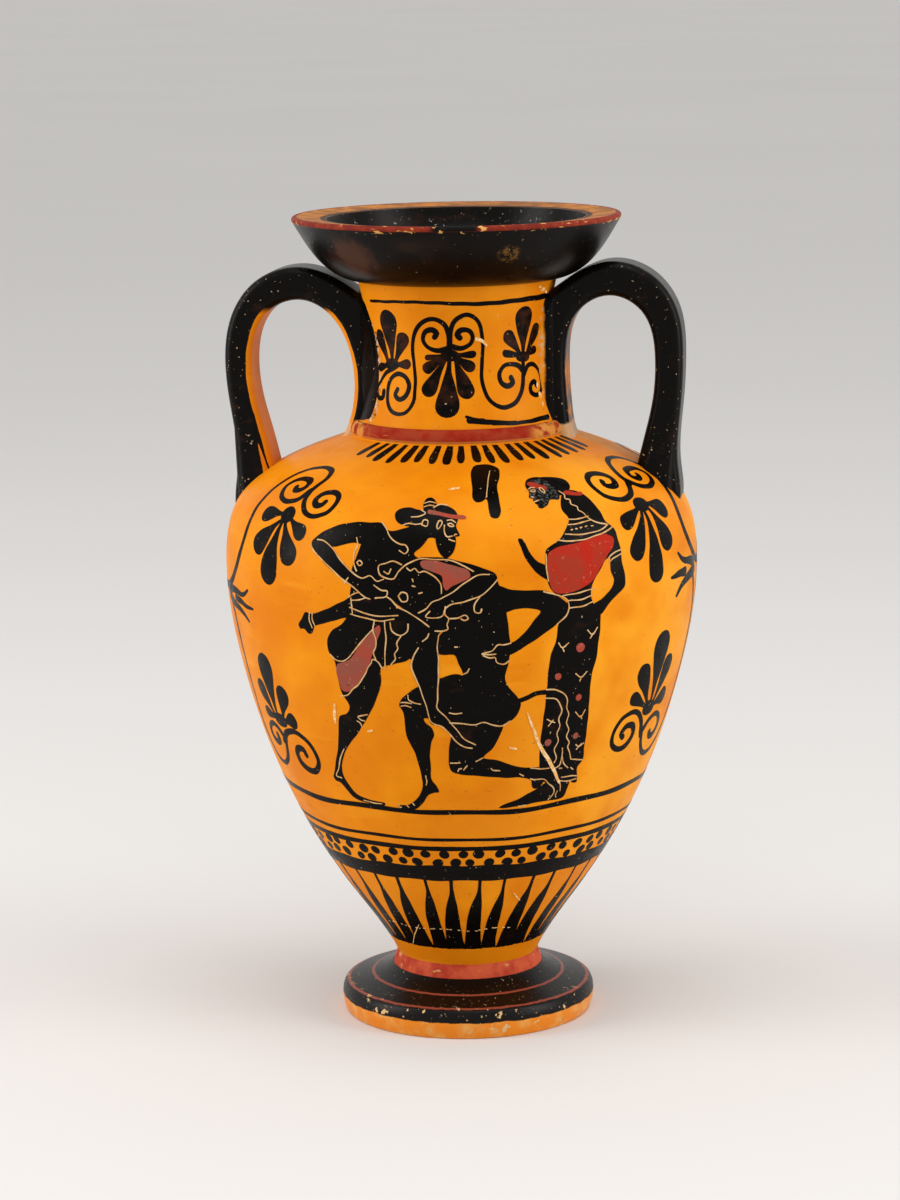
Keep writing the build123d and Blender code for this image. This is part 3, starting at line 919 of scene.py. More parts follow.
RIGHT_SCROLLS = (
    (2.5, [(92.6, 119), (88.5, 114), (84, 111.8), (77.2, 111.8), (72.2, 114.4), (70.5, 119), (72.2, 123.4),
        (77, 125.4), (82.8, 124.4), (85.4, 121.4), (83.6, 118.3), (80, 117.7), (77.4, 119), (78.4, 120.7)]),
    (2.5, [(92.8, 119), (97, 115.2), (103, 113.7), (109.8, 115.2), (113.2, 118.8), (111.2, 122.3),
        (105, 123.7), (100.2, 122.8), (99, 120.2), (101, 118.3), (104, 118.5), (105, 119.8)]),
    (2.6, [(92.4, 117.5), (92.2, 122), (94.6, 127), (99.6, 130.6), (106, 131.6), (112.5, 130.4),
        (117.4, 127.6), (119.6, 123.6), (118.8, 118), (116, 112), (113.4, 106), (112, 100), (113.4, 94),
        (117, 89), (121, 85.5), (126, 82.6), (130.4, 81.6)]),
    (1.8, [(120, 79.5), (124.6, 71), (126, 60), (125, 46), (122.4, 32), (118.8, 22.5), (113.2, 16.4),
        (106.5, 14.3), (100.6, 16.3), (97, 20.5), (94.4, 26)]),
    (2.2, [(94.8, 23.5), (92.4, 28.6), (89, 32.3), (84, 33.9), (78.2, 32.1), (75, 27.5), (75.8, 22.7),
        (80, 20.3), (85.3, 21.2), (88, 24.8), (86.5, 28.4), (82.4, 28.8), (80, 26.3), (81.4, 24.8)]),
    (2.4, [(94.6, 24.6), (98.8, 28.8), (103, 30.2), (107.7, 28.4), (110, 24.6), (107.8, 21.6),
        (104.2, 21.4), (102.6, 23.4)]),
)
RIGHT_BUD = (
    (3.4, [(121, 82), (116, 83.4), (110, 84.4), (106.4, 86), (103.6, 88.2)]),
    (3.4, [(110, 80.6), (104.5, 80.8), (98.2, 80.4)]),
    (4.2, [(122, 79.5), (116, 78.4), (110, 77.2), (105.4, 75.3), (102.6, 73.2)]),
)


def petal(paint, width, line):
    """A bud's petal, which thins to its tip."""
    paint.stroke(curve(line, 0.8), lambda t: width * (1 - 0.68 * t ** 1.4))


def side_ornament(name, hanging, upright, scrolls, bud, shift=0.0, flip=False):
    """The palmettes, scrolls and bud on one side of a handle."""
    for part, given in (("hanging_palmette", hanging), ("upright_palmette", upright)):
        paint = Paint(BODY, shift=shift, flip=flip)
        draw_palmette(paint, *given)
        paint.build(f"{name}_{part}", GLOSS_LOOK)
    paint = Paint(BODY, shift=shift, flip=flip)
    draw_scrolls(paint, scrolls)
    for width, line in bud:
        petal(paint, width, line)
    paint.build(f"{name}_scrolls", GLOSS_LOOK)


side_ornament("left", LEFT_HANGING, LEFT_UPRIGHT, LEFT_SCROLLS, LEFT_BUD)
side_ornament("right", RIGHT_HANGING, RIGHT_UPRIGHT, RIGHT_SCROLLS, RIGHT_BUD)
side_ornament("back_left", LEFT_HANGING, LEFT_UPRIGHT, LEFT_SCROLLS, LEFT_BUD, -TURN / 2, True)
side_ornament("back_right", RIGHT_HANGING, RIGHT_UPRIGHT, RIGHT_SCROLLS, RIGHT_BUD, TURN / 2, True)

NECK_PALMETTES = (
    ((1.5, 25.6), (3.3, 2.1), (
        ((1.3, 24), (0.3, 8), 8),
        ((-0.3, 24), (-6.1, 13.9), 5.2),
        ((3.3, 24.5), (6.9, 13.3), 5.8),
        ((-0.5, 24.8), (-6.4, 21.2), 3.9),
        ((3.5, 25), (8.3, 21.6), 4),
        ((0, 25.6), (-6.4, 24.7), 2),
        ((4, 25.8), (9.2, 25.7), 2.6),
    )),
    ((-21.5, 21.6), (3.5, 2.1), (
        ((-21.3, 22.5), (-22.4, 36.6), 8.4),
        ((-19.8, 22.5), (-16, 30.4), 5.3),
        ((-23.6, 22.5), (-28, 31), 5),
        ((-19.5, 21.5), (-14.7, 22), 3.4),
        ((-23.5, 21.3), (-27.6, 20.2), 3.2),
    )),
    ((29.1, 23.8), (3.3, 1.9), (
        ((29.3, 24.5), (29.3, 37.3), 7.8),
        ((28, 24.5), (22.8, 30.9), 4.8),
        ((31, 24.5), (36.2, 32.6), 4.6),
        ((27.5, 24.3), (21.4, 25.3), 2.8),
        ((31, 24.5), (35.4, 25.7), 2.9),
    )),
)
NECK_SCROLLS = (
    (1.7, [(1, 28), (-2.8, 27.3), (-6.4, 28.4), (-7.9, 31), (-7, 33.6), (-4.6, 34.2), (-3, 33),
        (-3.7, 31.8)]),
    (1.7, [(2, 28.8), (5.6, 28.1), (8.5, 29.5), (9.2, 32), (7.8, 34.2), (5.2, 34.3), (3.9, 32.7),
        (4.8, 31.6)]),
    (1.5, [(1, 26), (1, 33), (-0.6, 36.4), (-4, 38), (-8.4, 36.4), (-11.2, 32.3), (-12, 26), (-11.4, 20),
        (-11.2, 14), (-11.5, 9.5), (-13.5, 6), (-16.6, 4.8), (-19.9, 5.7), (-22.2, 9), (-22.7, 13.5),
        (-21.4, 16.9), (-18.5, 18.4), (-15.1, 17.5), (-13.6, 14.4), (-14.6, 11.2), (-17, 9.9), (-19, 11.3),
        (-18.4, 13.2)]),
    (1.5, [(1.4, 26), (1.7, 34), (3.4, 37.8), (7, 39.7), (10.6, 38), (12.4, 33), (12.7, 26), (12.4, 18),
        (13.6, 12), (16, 8.6), (19.5, 7.1), (23.5, 8), (26.7, 11), (28.3, 15), (28.8, 19), (29, 23)]),
    (1.7, [(28.6, 19), (26.6, 20.9), (23.6, 21.6), (20.6, 21), (18.8, 18.5), (19.4, 15.5), (21.9, 14.3),
        (24, 15.3), (23.2, 17)]),
    (1.6, [(28.9, 17.5), (31.4, 20.6), (34.2, 20.8), (37, 18.7), (38.4, 14.5), (37.3, 10.8), (34.4, 9.8),
        (31.8, 11.4), (32, 13.8), (34.2, 14.6), (35.2, 13)]),
    (1.6, [(-20.5, 20.4), (-24, 18.8), (-26.8, 15.8), (-28.6, 12.6), (-27.4, 9.6), (-25, 9.8),
        (-24.8, 12)]),
)


def neck_ornament(name, shift):
    for number, given in enumerate(NECK_PALMETTES):
        paint = Paint(NECK, shift=shift)
        draw_palmette(paint, *given)
        paint.build(f"{name}_palmette_{number + 1}", THIN_LOOK)
    paint = Paint(NECK, shift=shift)
    draw_scrolls(paint, NECK_SCROLLS)
    paint.stroke(curve([(-31.2, 43.1), (-17, 43.9), (0, 43.6), (18, 43.4), (34, 43.7), (41.5, 43.9)]),
                 lambda t: 1.0 + 1.1 * t ** 1.5)
    paint.stroke(curve([(6.5, 4.2), (9, 3.4), (12, 3.2)]), 1.0)
    paint.stroke(curve([(7.5, 3.0), (11, 2.6), (18, 2.0), (23, 1.8)]), lambda t: 2.3 - 1.3 * t)
    paint.stroke(curve([(15, 1.6), (20, 1.4), (28, 1.3), (38.5, 1.5)]), lambda t: 0.9 + 1.0 * t)
    paint.build(f"{name}_scrolls", GLOSS_LOOK)


neck_ornament("neck_front", 0.0)
neck_ornament("neck_back", NECK_TURN / 2)


def neck_dressing(name, shift=0.0, flip=False):
    """Slip run out over the neck from the left handle, with the open seam along its edge."""
    paint = Paint(NECK, shift=shift, flip=flip)
    paint.fill(outline([
        (-44, 42.5), (-44, 42.5), (-38, 41.3), (-34.5, 36.5), (-31.6, 31), (-30, 25), (-29, 20),
        (-28.6, 14), (-28.6, 8), (-28.8, 4), (-29.5, 1.5), (-29.5, 1.5), (-44, 1.5),
    ]))
    paint.build(name + "_slip", GLOSS_LOOK)
    seam = Paint(NECK, shift=shift, flip=flip)
    edge = ((-30.8, 30), (-29.3, 25), (-28.3, 20), (-27.6, 14), (-27.6, 8), (-28, 4), (-30, 1))
    seam.stroke(curve(edge, 0.6),
                lambda t: 1.3 + 0.5 * math.sin(9 * t) + 0.35 * math.sin(23 * t + 1) + 0.6 * t)
    crumbs = ((-35.8, 39.6), 0.5), ((-33, 34.6), 0.6), ((-31.4, 31.8), 0.8), ((-29.4, 22.6), 0.7)
    for place, size in crumbs:
        seam.dot(place, size, size * 0.7, 40)
    seam.build(name + "_seam", SEAM_LOOK)


neck_dressing("neck_left_front")
neck_dressing("neck_left_back", -NECK_TURN / 2, True)


def neck_chips():
    """Clay showing where the slip has come away beside the right handle."""
    paint = Paint(NECK, lift=CHIP_LIFT)
    for place, across, up, turn in (
        ((36.4, 9.4), 0.9, 1.4, 15), ((35.6, 13.2), 0.5, 1.1, -10), ((37.2, 6.2), 0.5, 0.8, 0),
        ((37.6, 46.4), 1.5, 0.6, 12), ((40.2, 45.4), 0.9, 0.5, -20), ((35.4, 47.4), 0.7, 0.4, 0),
    ):
        paint.dot(place, across, up, turn)
    paint.stroke(curve([(10.6, 31.2), (12.4, 30.4), (14, 28.6)]), lambda t: 1.2 - 0.4 * t)
    paint.build("neck_chips", WEAR_LOOK)


neck_chips()


# ---------------------------------------------------------------- the painting: figures

# A head in profile facing right, from the chin at 0 to the crown at 1, by the usual thirds: hairline,
# brow, base of the nose, chin.
PROFILE = [
    (-0.05, 1), (0.20, 0.95), (0.33, 0.82), (0.37, 0.68), (0.36, 0.60), (0.40, 0.50), (0.49, 0.37),
    (0.45, 0.33), (0.40, 0.31), (0.43, 0.25), (0.40, 0.21), (0.42, 0.16), (0.38, 0.11), (0.40, 0.04),
    (0.34, -0.01), (0.12, 0.04), (-0.05, 0.16), (-0.30, 0.10), (-0.47, 0.42), (-0.44, 0.78), (-0.27, 0.95),
]
BEARD = [(0.41, 0.27), (0.45, 0.14), (0.42, -0.04), (0.30, -0.19), (0.14, -0.12), (0.0, 0.08),
         (-0.02, 0.30), (0.18, 0.20), (0.30, 0.26)]
EYE = [(0.17, 0.55), (0.23, 0.585), (0.30, 0.565), (0.325, 0.545), (0.26, 0.515), (0.20, 0.52)]
BROW = [(0.13, 0.63), (0.22, 0.67), (0.33, 0.64)]
MOUTH = [(0.27, 0.225), (0.34, 0.215), (0.41, 0.213)]
NOSTRIL = [(0.37, 0.33), (0.39, 0.37), (0.42, 0.37)]
EAR = [(-0.06, 0.56), (-0.01, 0.59), (0.03, 0.54), (0.01, 0.44), (-0.03, 0.38), (-0.07, 0.44)]


def placed(points, centre, size, turn=0.0, mirror=False):
    """Head drawing set at centre (the middle of the head), scaled and turned."""
    made = (np.array(points, float) - (0, 0.5)) * size
    if mirror:
        made[:, 0] *= -1
    c, s = math.cos(math.radians(turn)), math.sin(math.radians(turn))
    return made @ np.array([[c, s], [-s, c]]) + np.array(centre, float)


def figure(name, black, incised, red=(), red_look=None, shift=0.0, flip=False):
    """One figure in three pieces: the black shape, the lines cut through it and the added red."""
    paint = Paint(BODY, shift=shift, flip=flip)
    for kind, points in black:
        if kind == "dot":
            paint.dot(*points)
        elif kind == "tail":
            paint.stroke(curve(points, 0.8), 1.7)
        else:
            paint.fill(loop(points, 0.8) if kind == "loop" else outline(points, 0.8))
    paint.build(name + "_black", GLOSS_LOOK)
    lines = Paint(BODY, lift=LINE_LIFT, shift=shift, flip=flip)
    for points in incised:
        lines.stroke(curve(list(points), 0.6), lambda t: 0.43 + 0.07 * math.sin(9 * t + len(points)))
    lines.build(name + "_incised", INCISED_LOOK)
    if red:
        added = Paint(BODY, lift=RED_LIFT, shift=shift, flip=flip)
        for points in red:
            added.fill(loop(points, 0.8))
        added.build(name + "_added_red", red_look)


def dress_spots(name, shift=0.0, flip=False):
    """The woman's skirt spots, in duller red than her bodice."""
    spots = Paint(BODY, lift=RED_LIFT, shift=shift, flip=flip)
    for place, size in (((53, 62.4), 1.7), ((45.4, 52.8), 1.25), ((54.7, 43.9), 1.25), ((44, 28.1), 1.4),
                        ((55.6, 29.2), 1.2)):
        spots.dot(place, size)
    spots.build(name + "_dress_spots", PINK_LOOK)


def closed(points):
    return list(points) + [points[0]]


HERO_HEAD = ((4.0, 106.9), 15.5, -14.0)
HERO_BLACK = (
    ("loop", [(-17.5, 107), (-14.8, 104.6), (-9, 105.3), (-4, 107), (0, 103), (-2.5, 99), (-5, 96.4),
        (-2, 94), (-8, 90), (-10.5, 84), (-11.2, 79), (-11, 75), (-20, 73.6), (-28, 74.6), (-27.2, 78.5),
        (-27.6, 83), (-26.9, 87), (-26.9, 91), (-25.3, 95), (-24, 99.8), (-25, 104)]),
    ("loop", [(-44.3, 98.6), (-42.6, 100.6), (-39, 103), (-34, 105.3), (-28, 106.8), (-22, 107.2),
        (-17.5, 106.9), (-16, 101), (-21, 98.8), (-26, 99.8), (-31, 98.6), (-34.8, 97.6), (-39, 97.4),
        (-42.5, 97.4)]),
    ("loop", [(-44.4, 98.4), (-42.3, 99.8), (-38.2, 98.6), (-34.6, 96.6), (-31, 93.4), (-27, 90.1),
        (-23, 86), (-27, 85.6), (-30.5, 87.2), (-36, 90.6), (-41, 94.2)]),
    ("loop", [(-26, 82), (-30, 80), (-36, 77), (-41, 74.9), (-44.2, 74.2), (-46.2, 74.4), (-48.2, 72),
        (-50, 69.6), (-49.4, 68.3), (-47.6, 68.6), (-45.8, 67.2), (-44, 67.6), (-42.6, 70), (-37, 71.9),
        (-31.5, 73.6), (-26, 75.2)]),
    ("loop", [(-27.6, 75), (-31, 71.8), (-35.4, 69), (-37.8, 65.6), (-37.8, 61.8), (-35.9, 58.4),
        (-35.3, 54), (-35.1, 50), (-34.1, 46), (-31.9, 41.8), (-33.4, 39.3), (-37.2, 37.6), (-38.7, 34.6),
        (-40, 29.4), (-42.2, 23.3), (-44.7, 18.4), (-46.9, 14.8), (-48.2, 12.7), (-47.4, 11.3),
        (-45.2, 10.9), (-42.8, 8.2), (-40.3, 5.6), (-36.6, 4.2), (-30, 3.3), (-25, 3.2), (-24.4, 4.1),
        (-28, 4.7), (-33.5, 5.4), (-37.9, 7.1), (-40.7, 10.5), (-42.2, 14.5), (-41.7, 17.8), (-39.5, 21.9),
        (-36, 26.8), (-31.2, 31.4), (-27, 36), (-23.5, 40.9), (-20.3, 46.6), (-18.2, 52.5), (-17.4, 57.4),
        (-12.5, 58.9), (-7, 61), (-5, 65.5), (-6, 71), (-10, 74.2), (-18, 75)]),
    ("loop", [(-14, 74), (-8, 73.3), (-1.5, 72.4), (2.6, 70.8), (3.2, 68), (2.9, 62), (2.7, 53), (2, 44.6),
        (4.5, 41.2), (9, 35.4), (15.2, 29.4), (13.6, 27.5), (8.6, 30), (5, 34.4), (2.4, 36.3), (-1.1, 37.2),
        (-2.2, 42), (-3.6, 47.8), (-5.2, 53), (-6.6, 57.4), (-6.6, 60.8), (-10, 60.8), (-16, 60)]),
    ("loop", placed(PROFILE, *HERO_HEAD)),
    ("loop", placed(BEARD, *HERO_HEAD)),
    ("loop", [(-13.4, 111.3), (-11.8, 113.2), (-8.4, 113.8), (-4.8, 112.7), (-1.5, 112.4), (-1.5, 106.6),
        (-5, 106.2), (-9.2, 106.3), (-12.4, 108)]),
    ("loop", [(-2.4, 112.6), (-3, 115.4), (-2.2, 117.9), (-0.4, 118.3), (1.3, 117), (2, 114.8),
        (1.5, 112)]),
)
HERO_RED = (
    [(-35, 56.8), (-32.6, 58), (-29.2, 59.4), (-25.8, 63.4), (-21.4, 68), (-17.2, 72.2), (-16.7, 70.6),
        (-18.6, 66), (-20.2, 61.8), (-22, 58), (-24, 54.2), (-27.4, 50.6), (-31, 47.6), (-33.8, 47.6),
        (-35.1, 51)],
    [(-1, 112.6), (3, 111.8), (8, 110.8), (13, 110.1), (13.2, 109.1), (8, 109.3), (3, 110.3), (-1, 111.3)],
)
HERO_LINES = (
    [(-17.6, 107.4), (-15.6, 105), (-14, 102.6), (-12.4, 101), (-10, 99.8), (-8, 99.4), (-7, 97.8),
        (-8, 96.6), (-10, 97.6)],
    [(-42, 99.6), (-39, 99.2), (-35, 97), (-31, 93.3), (-27, 90.2), (-23, 88), (-20, 89), (-17.5, 87.2),
        (-15, 87.8)],
    [(-26, 101.5), (-25.2, 99), (-26.2, 96), (-26, 92.4), (-25, 90.4)],
    closed([(-25, 93.2), (-24, 94), (-22.9, 93), (-24, 92.2)]),
    [(-9, 92.8), (-12, 94), (-14.6, 93.2), (-16.8, 92.3), (-16.6, 89.6), (-14.8, 88.4), (-11.6, 88.1),
        (-10, 90.3)],
    [(-15, 90.4), (-13.4, 89.7), (-12.6, 91.4)],
    [(-44.6, 97.3), (-42, 94.9), (-36, 91.1), (-31, 87.6), (-27, 85.3), (-24.5, 83.5), (-22, 81.6),
        (-20.3, 81)],
    [(-29.6, 86), (-28.2, 88)],
    [(-28, 81.4), (-26, 82.6), (-24.3, 83.2)],
    [(-27, 80.3), (-24.5, 80.5), (-22, 81.4)],
    [(-18.6, 85.8), (-16, 84.2), (-14, 83.9), (-14.4, 82.2), (-18.4, 81.3)],
    [(-14.4, 82.2), (-12.5, 81), (-10.5, 78.8), (-7, 77.2), (-3.6, 75.2), (0, 72.5)],
    [(-27.8, 77.9), (-22, 75.9), (-16, 75.3), (-10.6, 76)],
    [(-27.5, 75.6), (-22, 74.3), (-16.5, 73.7), (-12, 74.6)],
    [(-27.2, 81), (-27, 78), (-26.8, 75.9)],
    [(-44.2, 74.6), (-44.6, 72), (-43.8, 69.4)],
    [(-42.9, 74.6), (-43.2, 72.3), (-42.4, 70)],
    [(-19, 73.4), (-19.4, 70), (-18.6, 67.2), (-18.8, 64.6), (-19.7, 62.6), (-19.2, 60.2)],
    [(-15.3, 73.5), (-15, 67), (-15.8, 60.5), (-16, 57.2)],
    [(-13.3, 73.3), (-12.8, 70.5), (-10, 69.1), (-7.6, 70.8), (-7.2, 73.2)],
    [(-9.8, 68.8), (-11.2, 66.4), (-10.9, 64.6), (-12.2, 62.6), (-12, 60.8), (-13.6, 58.8)],
    [(-37, 60.4), (-35.4, 58.8), (-33, 58.4), (-30, 59.7), (-27, 62.8), (-23.6, 66.2), (-21.8, 68.2),
        (-19.4, 70.6)],
    [(-35, 45.3), (-32, 46.2), (-29.5, 48.5), (-27.4, 50.2), (-25.7, 52.2), (-23.7, 55), (-22.7, 57),
        (-21.2, 58.6), (-20.4, 60), (-18.6, 59.4), (-17.2, 57.2)],
    [(-25, 39.6), (-27.3, 39.1), (-29.1, 38.4), (-28, 37.4), (-26.5, 37.2)],
    [(-29.7, 36.7), (-28.4, 36), (-28, 34.6)],
    [(-38.5, 25), (-41, 21.5), (-43.5, 17), (-46.2, 13.5), (-43.5, 13.1)],
    [(-4, 65), (-5.5, 62), (-6.5, 58), (-5, 53.5), (-3.3, 47.5), (-1.8, 41), (-1.1, 38), (0.6, 36.9),
        (3, 36.2), (5, 34.3), (8, 30.6), (11, 28.4), (14, 27.7)],
    [(3, 69.3), (2.5, 65), (2.8, 60), (2.6, 52), (2, 46), (1.6, 43.3), (4.5, 40), (8, 35.6), (11, 31.6),
        (15.2, 28.9)],
    [(-2.5, 67.3), (-0.9, 68.5), (-0.2, 70)],
    [(-35, 4.6), (-30, 4), (-26, 3.9)],
    [(-7, 109.7), (-4, 109.8), (-1.8, 111.2), (-3.6, 112.6)],
    [(-9.8, 106.4), (-7.6, 107.2), (-5, 106.8), (-2.6, 107)],
    [(1, 113.4), (3.4, 115), (6.6, 114.6)],
    [(-2.6, 114), (-0.6, 114.6), (1.6, 114)],
    [(-2.7, 115.6), (-0.6, 116.2), (1.5, 115.6)],
    closed([(-2.8, 106.6), (-2, 108.4), (-0.6, 108.2), (-1, 106)]),
    closed(placed(EYE, *HERO_HEAD)),
    placed(BROW, *HERO_HEAD),
    placed(MOUTH, *HERO_HEAD),
    placed(NOSTRIL, *HERO_HEAD),
    closed(placed(EAR, *HERO_HEAD)),
    placed([(0.33, 0.31), (0.22, 0.27), (0.14, 0.36), (0.1, 0.5)], *HERO_HEAD),
)

BEAST_BLACK = (
    ("loop", [(-20, 85), (-17, 90), (-13, 93.4), (-8, 93.2), (-3, 95.3), (5, 95.6), (12, 94), (18, 91.8),
        (22.6, 89.6), (23.4, 86), (26.4, 83.4), (26, 77), (27, 70), (27.7, 64), (27, 59.5), (25.7, 54),
        (26.6, 50.6), (30.2, 46.4), (31.8, 43.5), (31.2, 40.4), (28.8, 37.6), (24, 35.4), (14, 36.6),
        (5, 39.4), (1.9, 44), (1.7, 52.9), (6, 53.9), (10.9, 55.1), (9.6, 59), (8.2, 62.2), (3, 62.6),
        (3, 68.6), (4.4, 70.6), (0.4, 71.8), (-5, 75.6), (-10.6, 79.6), (-14.4, 82.4)]),
    ("loop", [(22, 85.8), (28, 84.2), (35, 83.8), (40, 83.1), (45, 80.3), (47.8, 77.4), (47, 74.4),
        (43.5, 71.3), (38, 67.6), (33, 64.6), (28, 62), (22, 60.2), (18, 61.8), (19, 64.4), (24, 66.2),
        (28.4, 66.5), (31.6, 68.8), (35.4, 73.4), (37.6, 76.4), (34, 77.6), (29, 77.8), (25, 76.8)]),
    ("loop", [(25.6, 37), (24.6, 32), (22.2, 27.6), (18.4, 23.7), (24, 22.7), (30, 20.4), (37, 18.9),
        (46, 18), (52, 16), (53.6, 12), (51.6, 8.4), (48.2, 4.4), (46.6, 7.6), (45.8, 11), (44.4, 12.4),
        (43.2, 10.5), (40.6, 9.9), (39.2, 11.2), (38.6, 13.6), (33, 15.3), (28, 15.6), (20, 16.3),
        (14, 16.8), (9, 17.5), (6.2, 18.6), (5.3, 21.4), (5.2, 26), (5.9, 31), (7, 35.5), (12, 39)]),
    ("loop", [(10.8, 55), (1.5, 53.3), (-4.5, 50.8), (-8.4, 48.5), (-11.4, 45.9), (-12.3, 43.8),
        (-11.2, 41.4), (-10.7, 37), (-10.5, 32), (-9.2, 29), (-7.6, 25), (-6.6, 19), (-6.3, 13.4),
        (-7.6, 10), (-10, 6.8), (-13.5, 4.7), (-18.4, 3.7), (-17.6, 2.6), (-10.4, 3), (-7, 5.7),
        (-4.5, 8.8), (-2, 10), (0.3, 10.4), (-0.4, 12.6), (-2.2, 15.2), (-2.1, 20), (-1.8, 27),
        (-1.2, 30.2), (0, 33), (-0.9, 35.6), (-3.1, 37.4), (-3.5, 39), (0, 38.6), (4, 37), (12, 38)]),
    ("outline", [(-12, 78.4), (-3, 77.4), (4.4, 72.6), (3.4, 70), (-2, 69.4), (-9, 73), (-12.4, 75)]),
    ("tail", [(30, 44.3), (34, 45.8), (38, 47.2), (43, 47.2), (46.8, 45.8), (48.9, 43), (49.3, 39),
        (49.4, 34), (50.2, 29), (51, 24), (52, 20.5)]),
)
BEAST_RED = (
    [(-2.6, 94), (2, 94.7), (6, 93.6), (10, 92.6), (13.2, 91.4), (13.8, 89.2), (11, 87.4), (7.6, 86),
        (6, 84.7), (5, 86.4), (4.6, 89.6), (1, 91), (-2, 92.2)],
)
BEAST_LINES = (
    [(-9.8, 90.6), (-7, 93.2), (-3, 94.9), (3, 95), (8, 94.6), (12, 92.8), (15, 90.8)],
    [(-7, 91.8), (-5.8, 91), (-4.4, 91.9), (-3, 90.6), (-1.4, 91), (0.4, 90.3), (2.6, 89), (4.2, 87),
        (4.5, 83.8)],
    [(-3.3, 77.2), (-0.5, 78.6), (1.6, 81), (4, 81.8), (8, 84), (12, 87), (16, 89.3), (20.5, 89.6)],
    [(23, 87.8), (20, 84.6), (17, 82.4), (12, 80.7), (7.6, 79.8), (5.6, 78.3), (4.8, 76.2), (3, 75.4),
        (-1, 75.9), (0.6, 77.7)],
    [(5.8, 79.2), (5.5, 76.7), (6.9, 75), (6.2, 73), (6.3, 71.4), (4.6, 70.7), (2, 70.9)],
    closed([(-10, 82.4), (-8.8, 83.8), (-7, 83.4), (-7, 81.2), (-8.8, 80.6)]),
    [(7, 75.1), (10, 75.1), (12.4, 76.1), (13.3, 74.9), (12, 74.2), (11, 74.7)],
    [(17, 82.2), (15.4, 79.4), (15.6, 77), (17.2, 76.7), (17.7, 77.9)],
    [(-5.2, 88.2), (-4.9, 87.4)], [(-5.1, 86), (-4.2, 85.8)], [(-2.9, 83.6), (-1.8, 84)], [(8.4, 65),
        (9.3, 65)],
    [(27.6, 66.2), (25.2, 65.6), (23.2, 65.7), (21.2, 63.8), (17.6, 62.6), (20.4, 62.4), (22.4, 62.6)],
    [(18, 62), (20.2, 61.2), (22.2, 61.3), (22.8, 59.6), (25.2, 58.8), (27, 59.7)],
    [(10.9, 55.5), (12.5, 56.2), (13.1, 57.4)],
    [(6, 37.8), (10, 37.4), (15, 36.8), (18.5, 37.4), (22, 36.3), (25.5, 35.8), (28.4, 37.4)],
    [(6, 41.4), (8, 41), (10.5, 41.4)],
    [(-8.8, 47.7), (-8.6, 46), (-6.6, 44.8), (-4.4, 44.3)],
    [(-11.6, 44.7), (-10, 44.8), (-7.6, 44.5)],
    [(-11.6, 43.4), (-10, 43.6), (-8, 43)],
    [(-4.5, 17), (-4.4, 14.6), (-4.9, 13.3)],
    [(5.9, 22.1), (9.6, 22.1)], [(8.6, 18.7), (9.1, 19.7), (10, 19.8)], [(10.9, 19.3), (12.2, 20.8)],
    [(15.6, 22.5), (18.2, 23.7)],
    [(21.6, 19.4), (22.2, 18.8), (25, 18.6)], [(33.3, 16.7), (35, 15.8)],
    [(37.8, 18.6), (42, 17.9), (46, 17.7)],
    [(38.3, 14.3), (40, 13.7), (44.5, 13.3), (46.6, 11.6), (49.2, 9.8), (50, 8), (49.3, 6.2), (48, 4.8)],
    [(-17.9, 4), (-17.5, 3.2), (-16.8, 3.4)], [(-14.2, 4.4), (-13.3, 3.7)], [(-11.4, 5.4), (-10.8, 4.6)],
    [(41, 45.3), (45, 44.6), (47.3, 41.8), (48, 39.8), (47, 37), (48, 34), (47.2, 31), (48.3, 28),
        (47.2, 25), (48.6, 21.4), (48, 19.7)],
    [(41, 48.4), (45, 47.9), (48.5, 46), (50, 43.4), (49.9, 40.6), (51, 38), (50.6, 35), (51.9, 32),
        (51.5, 29.6), (53.2, 27), (52.8, 25.4), (54.3, 23), (55.4, 20.4)],
    [(34.6, 3.2), (38, 3.4)],
)

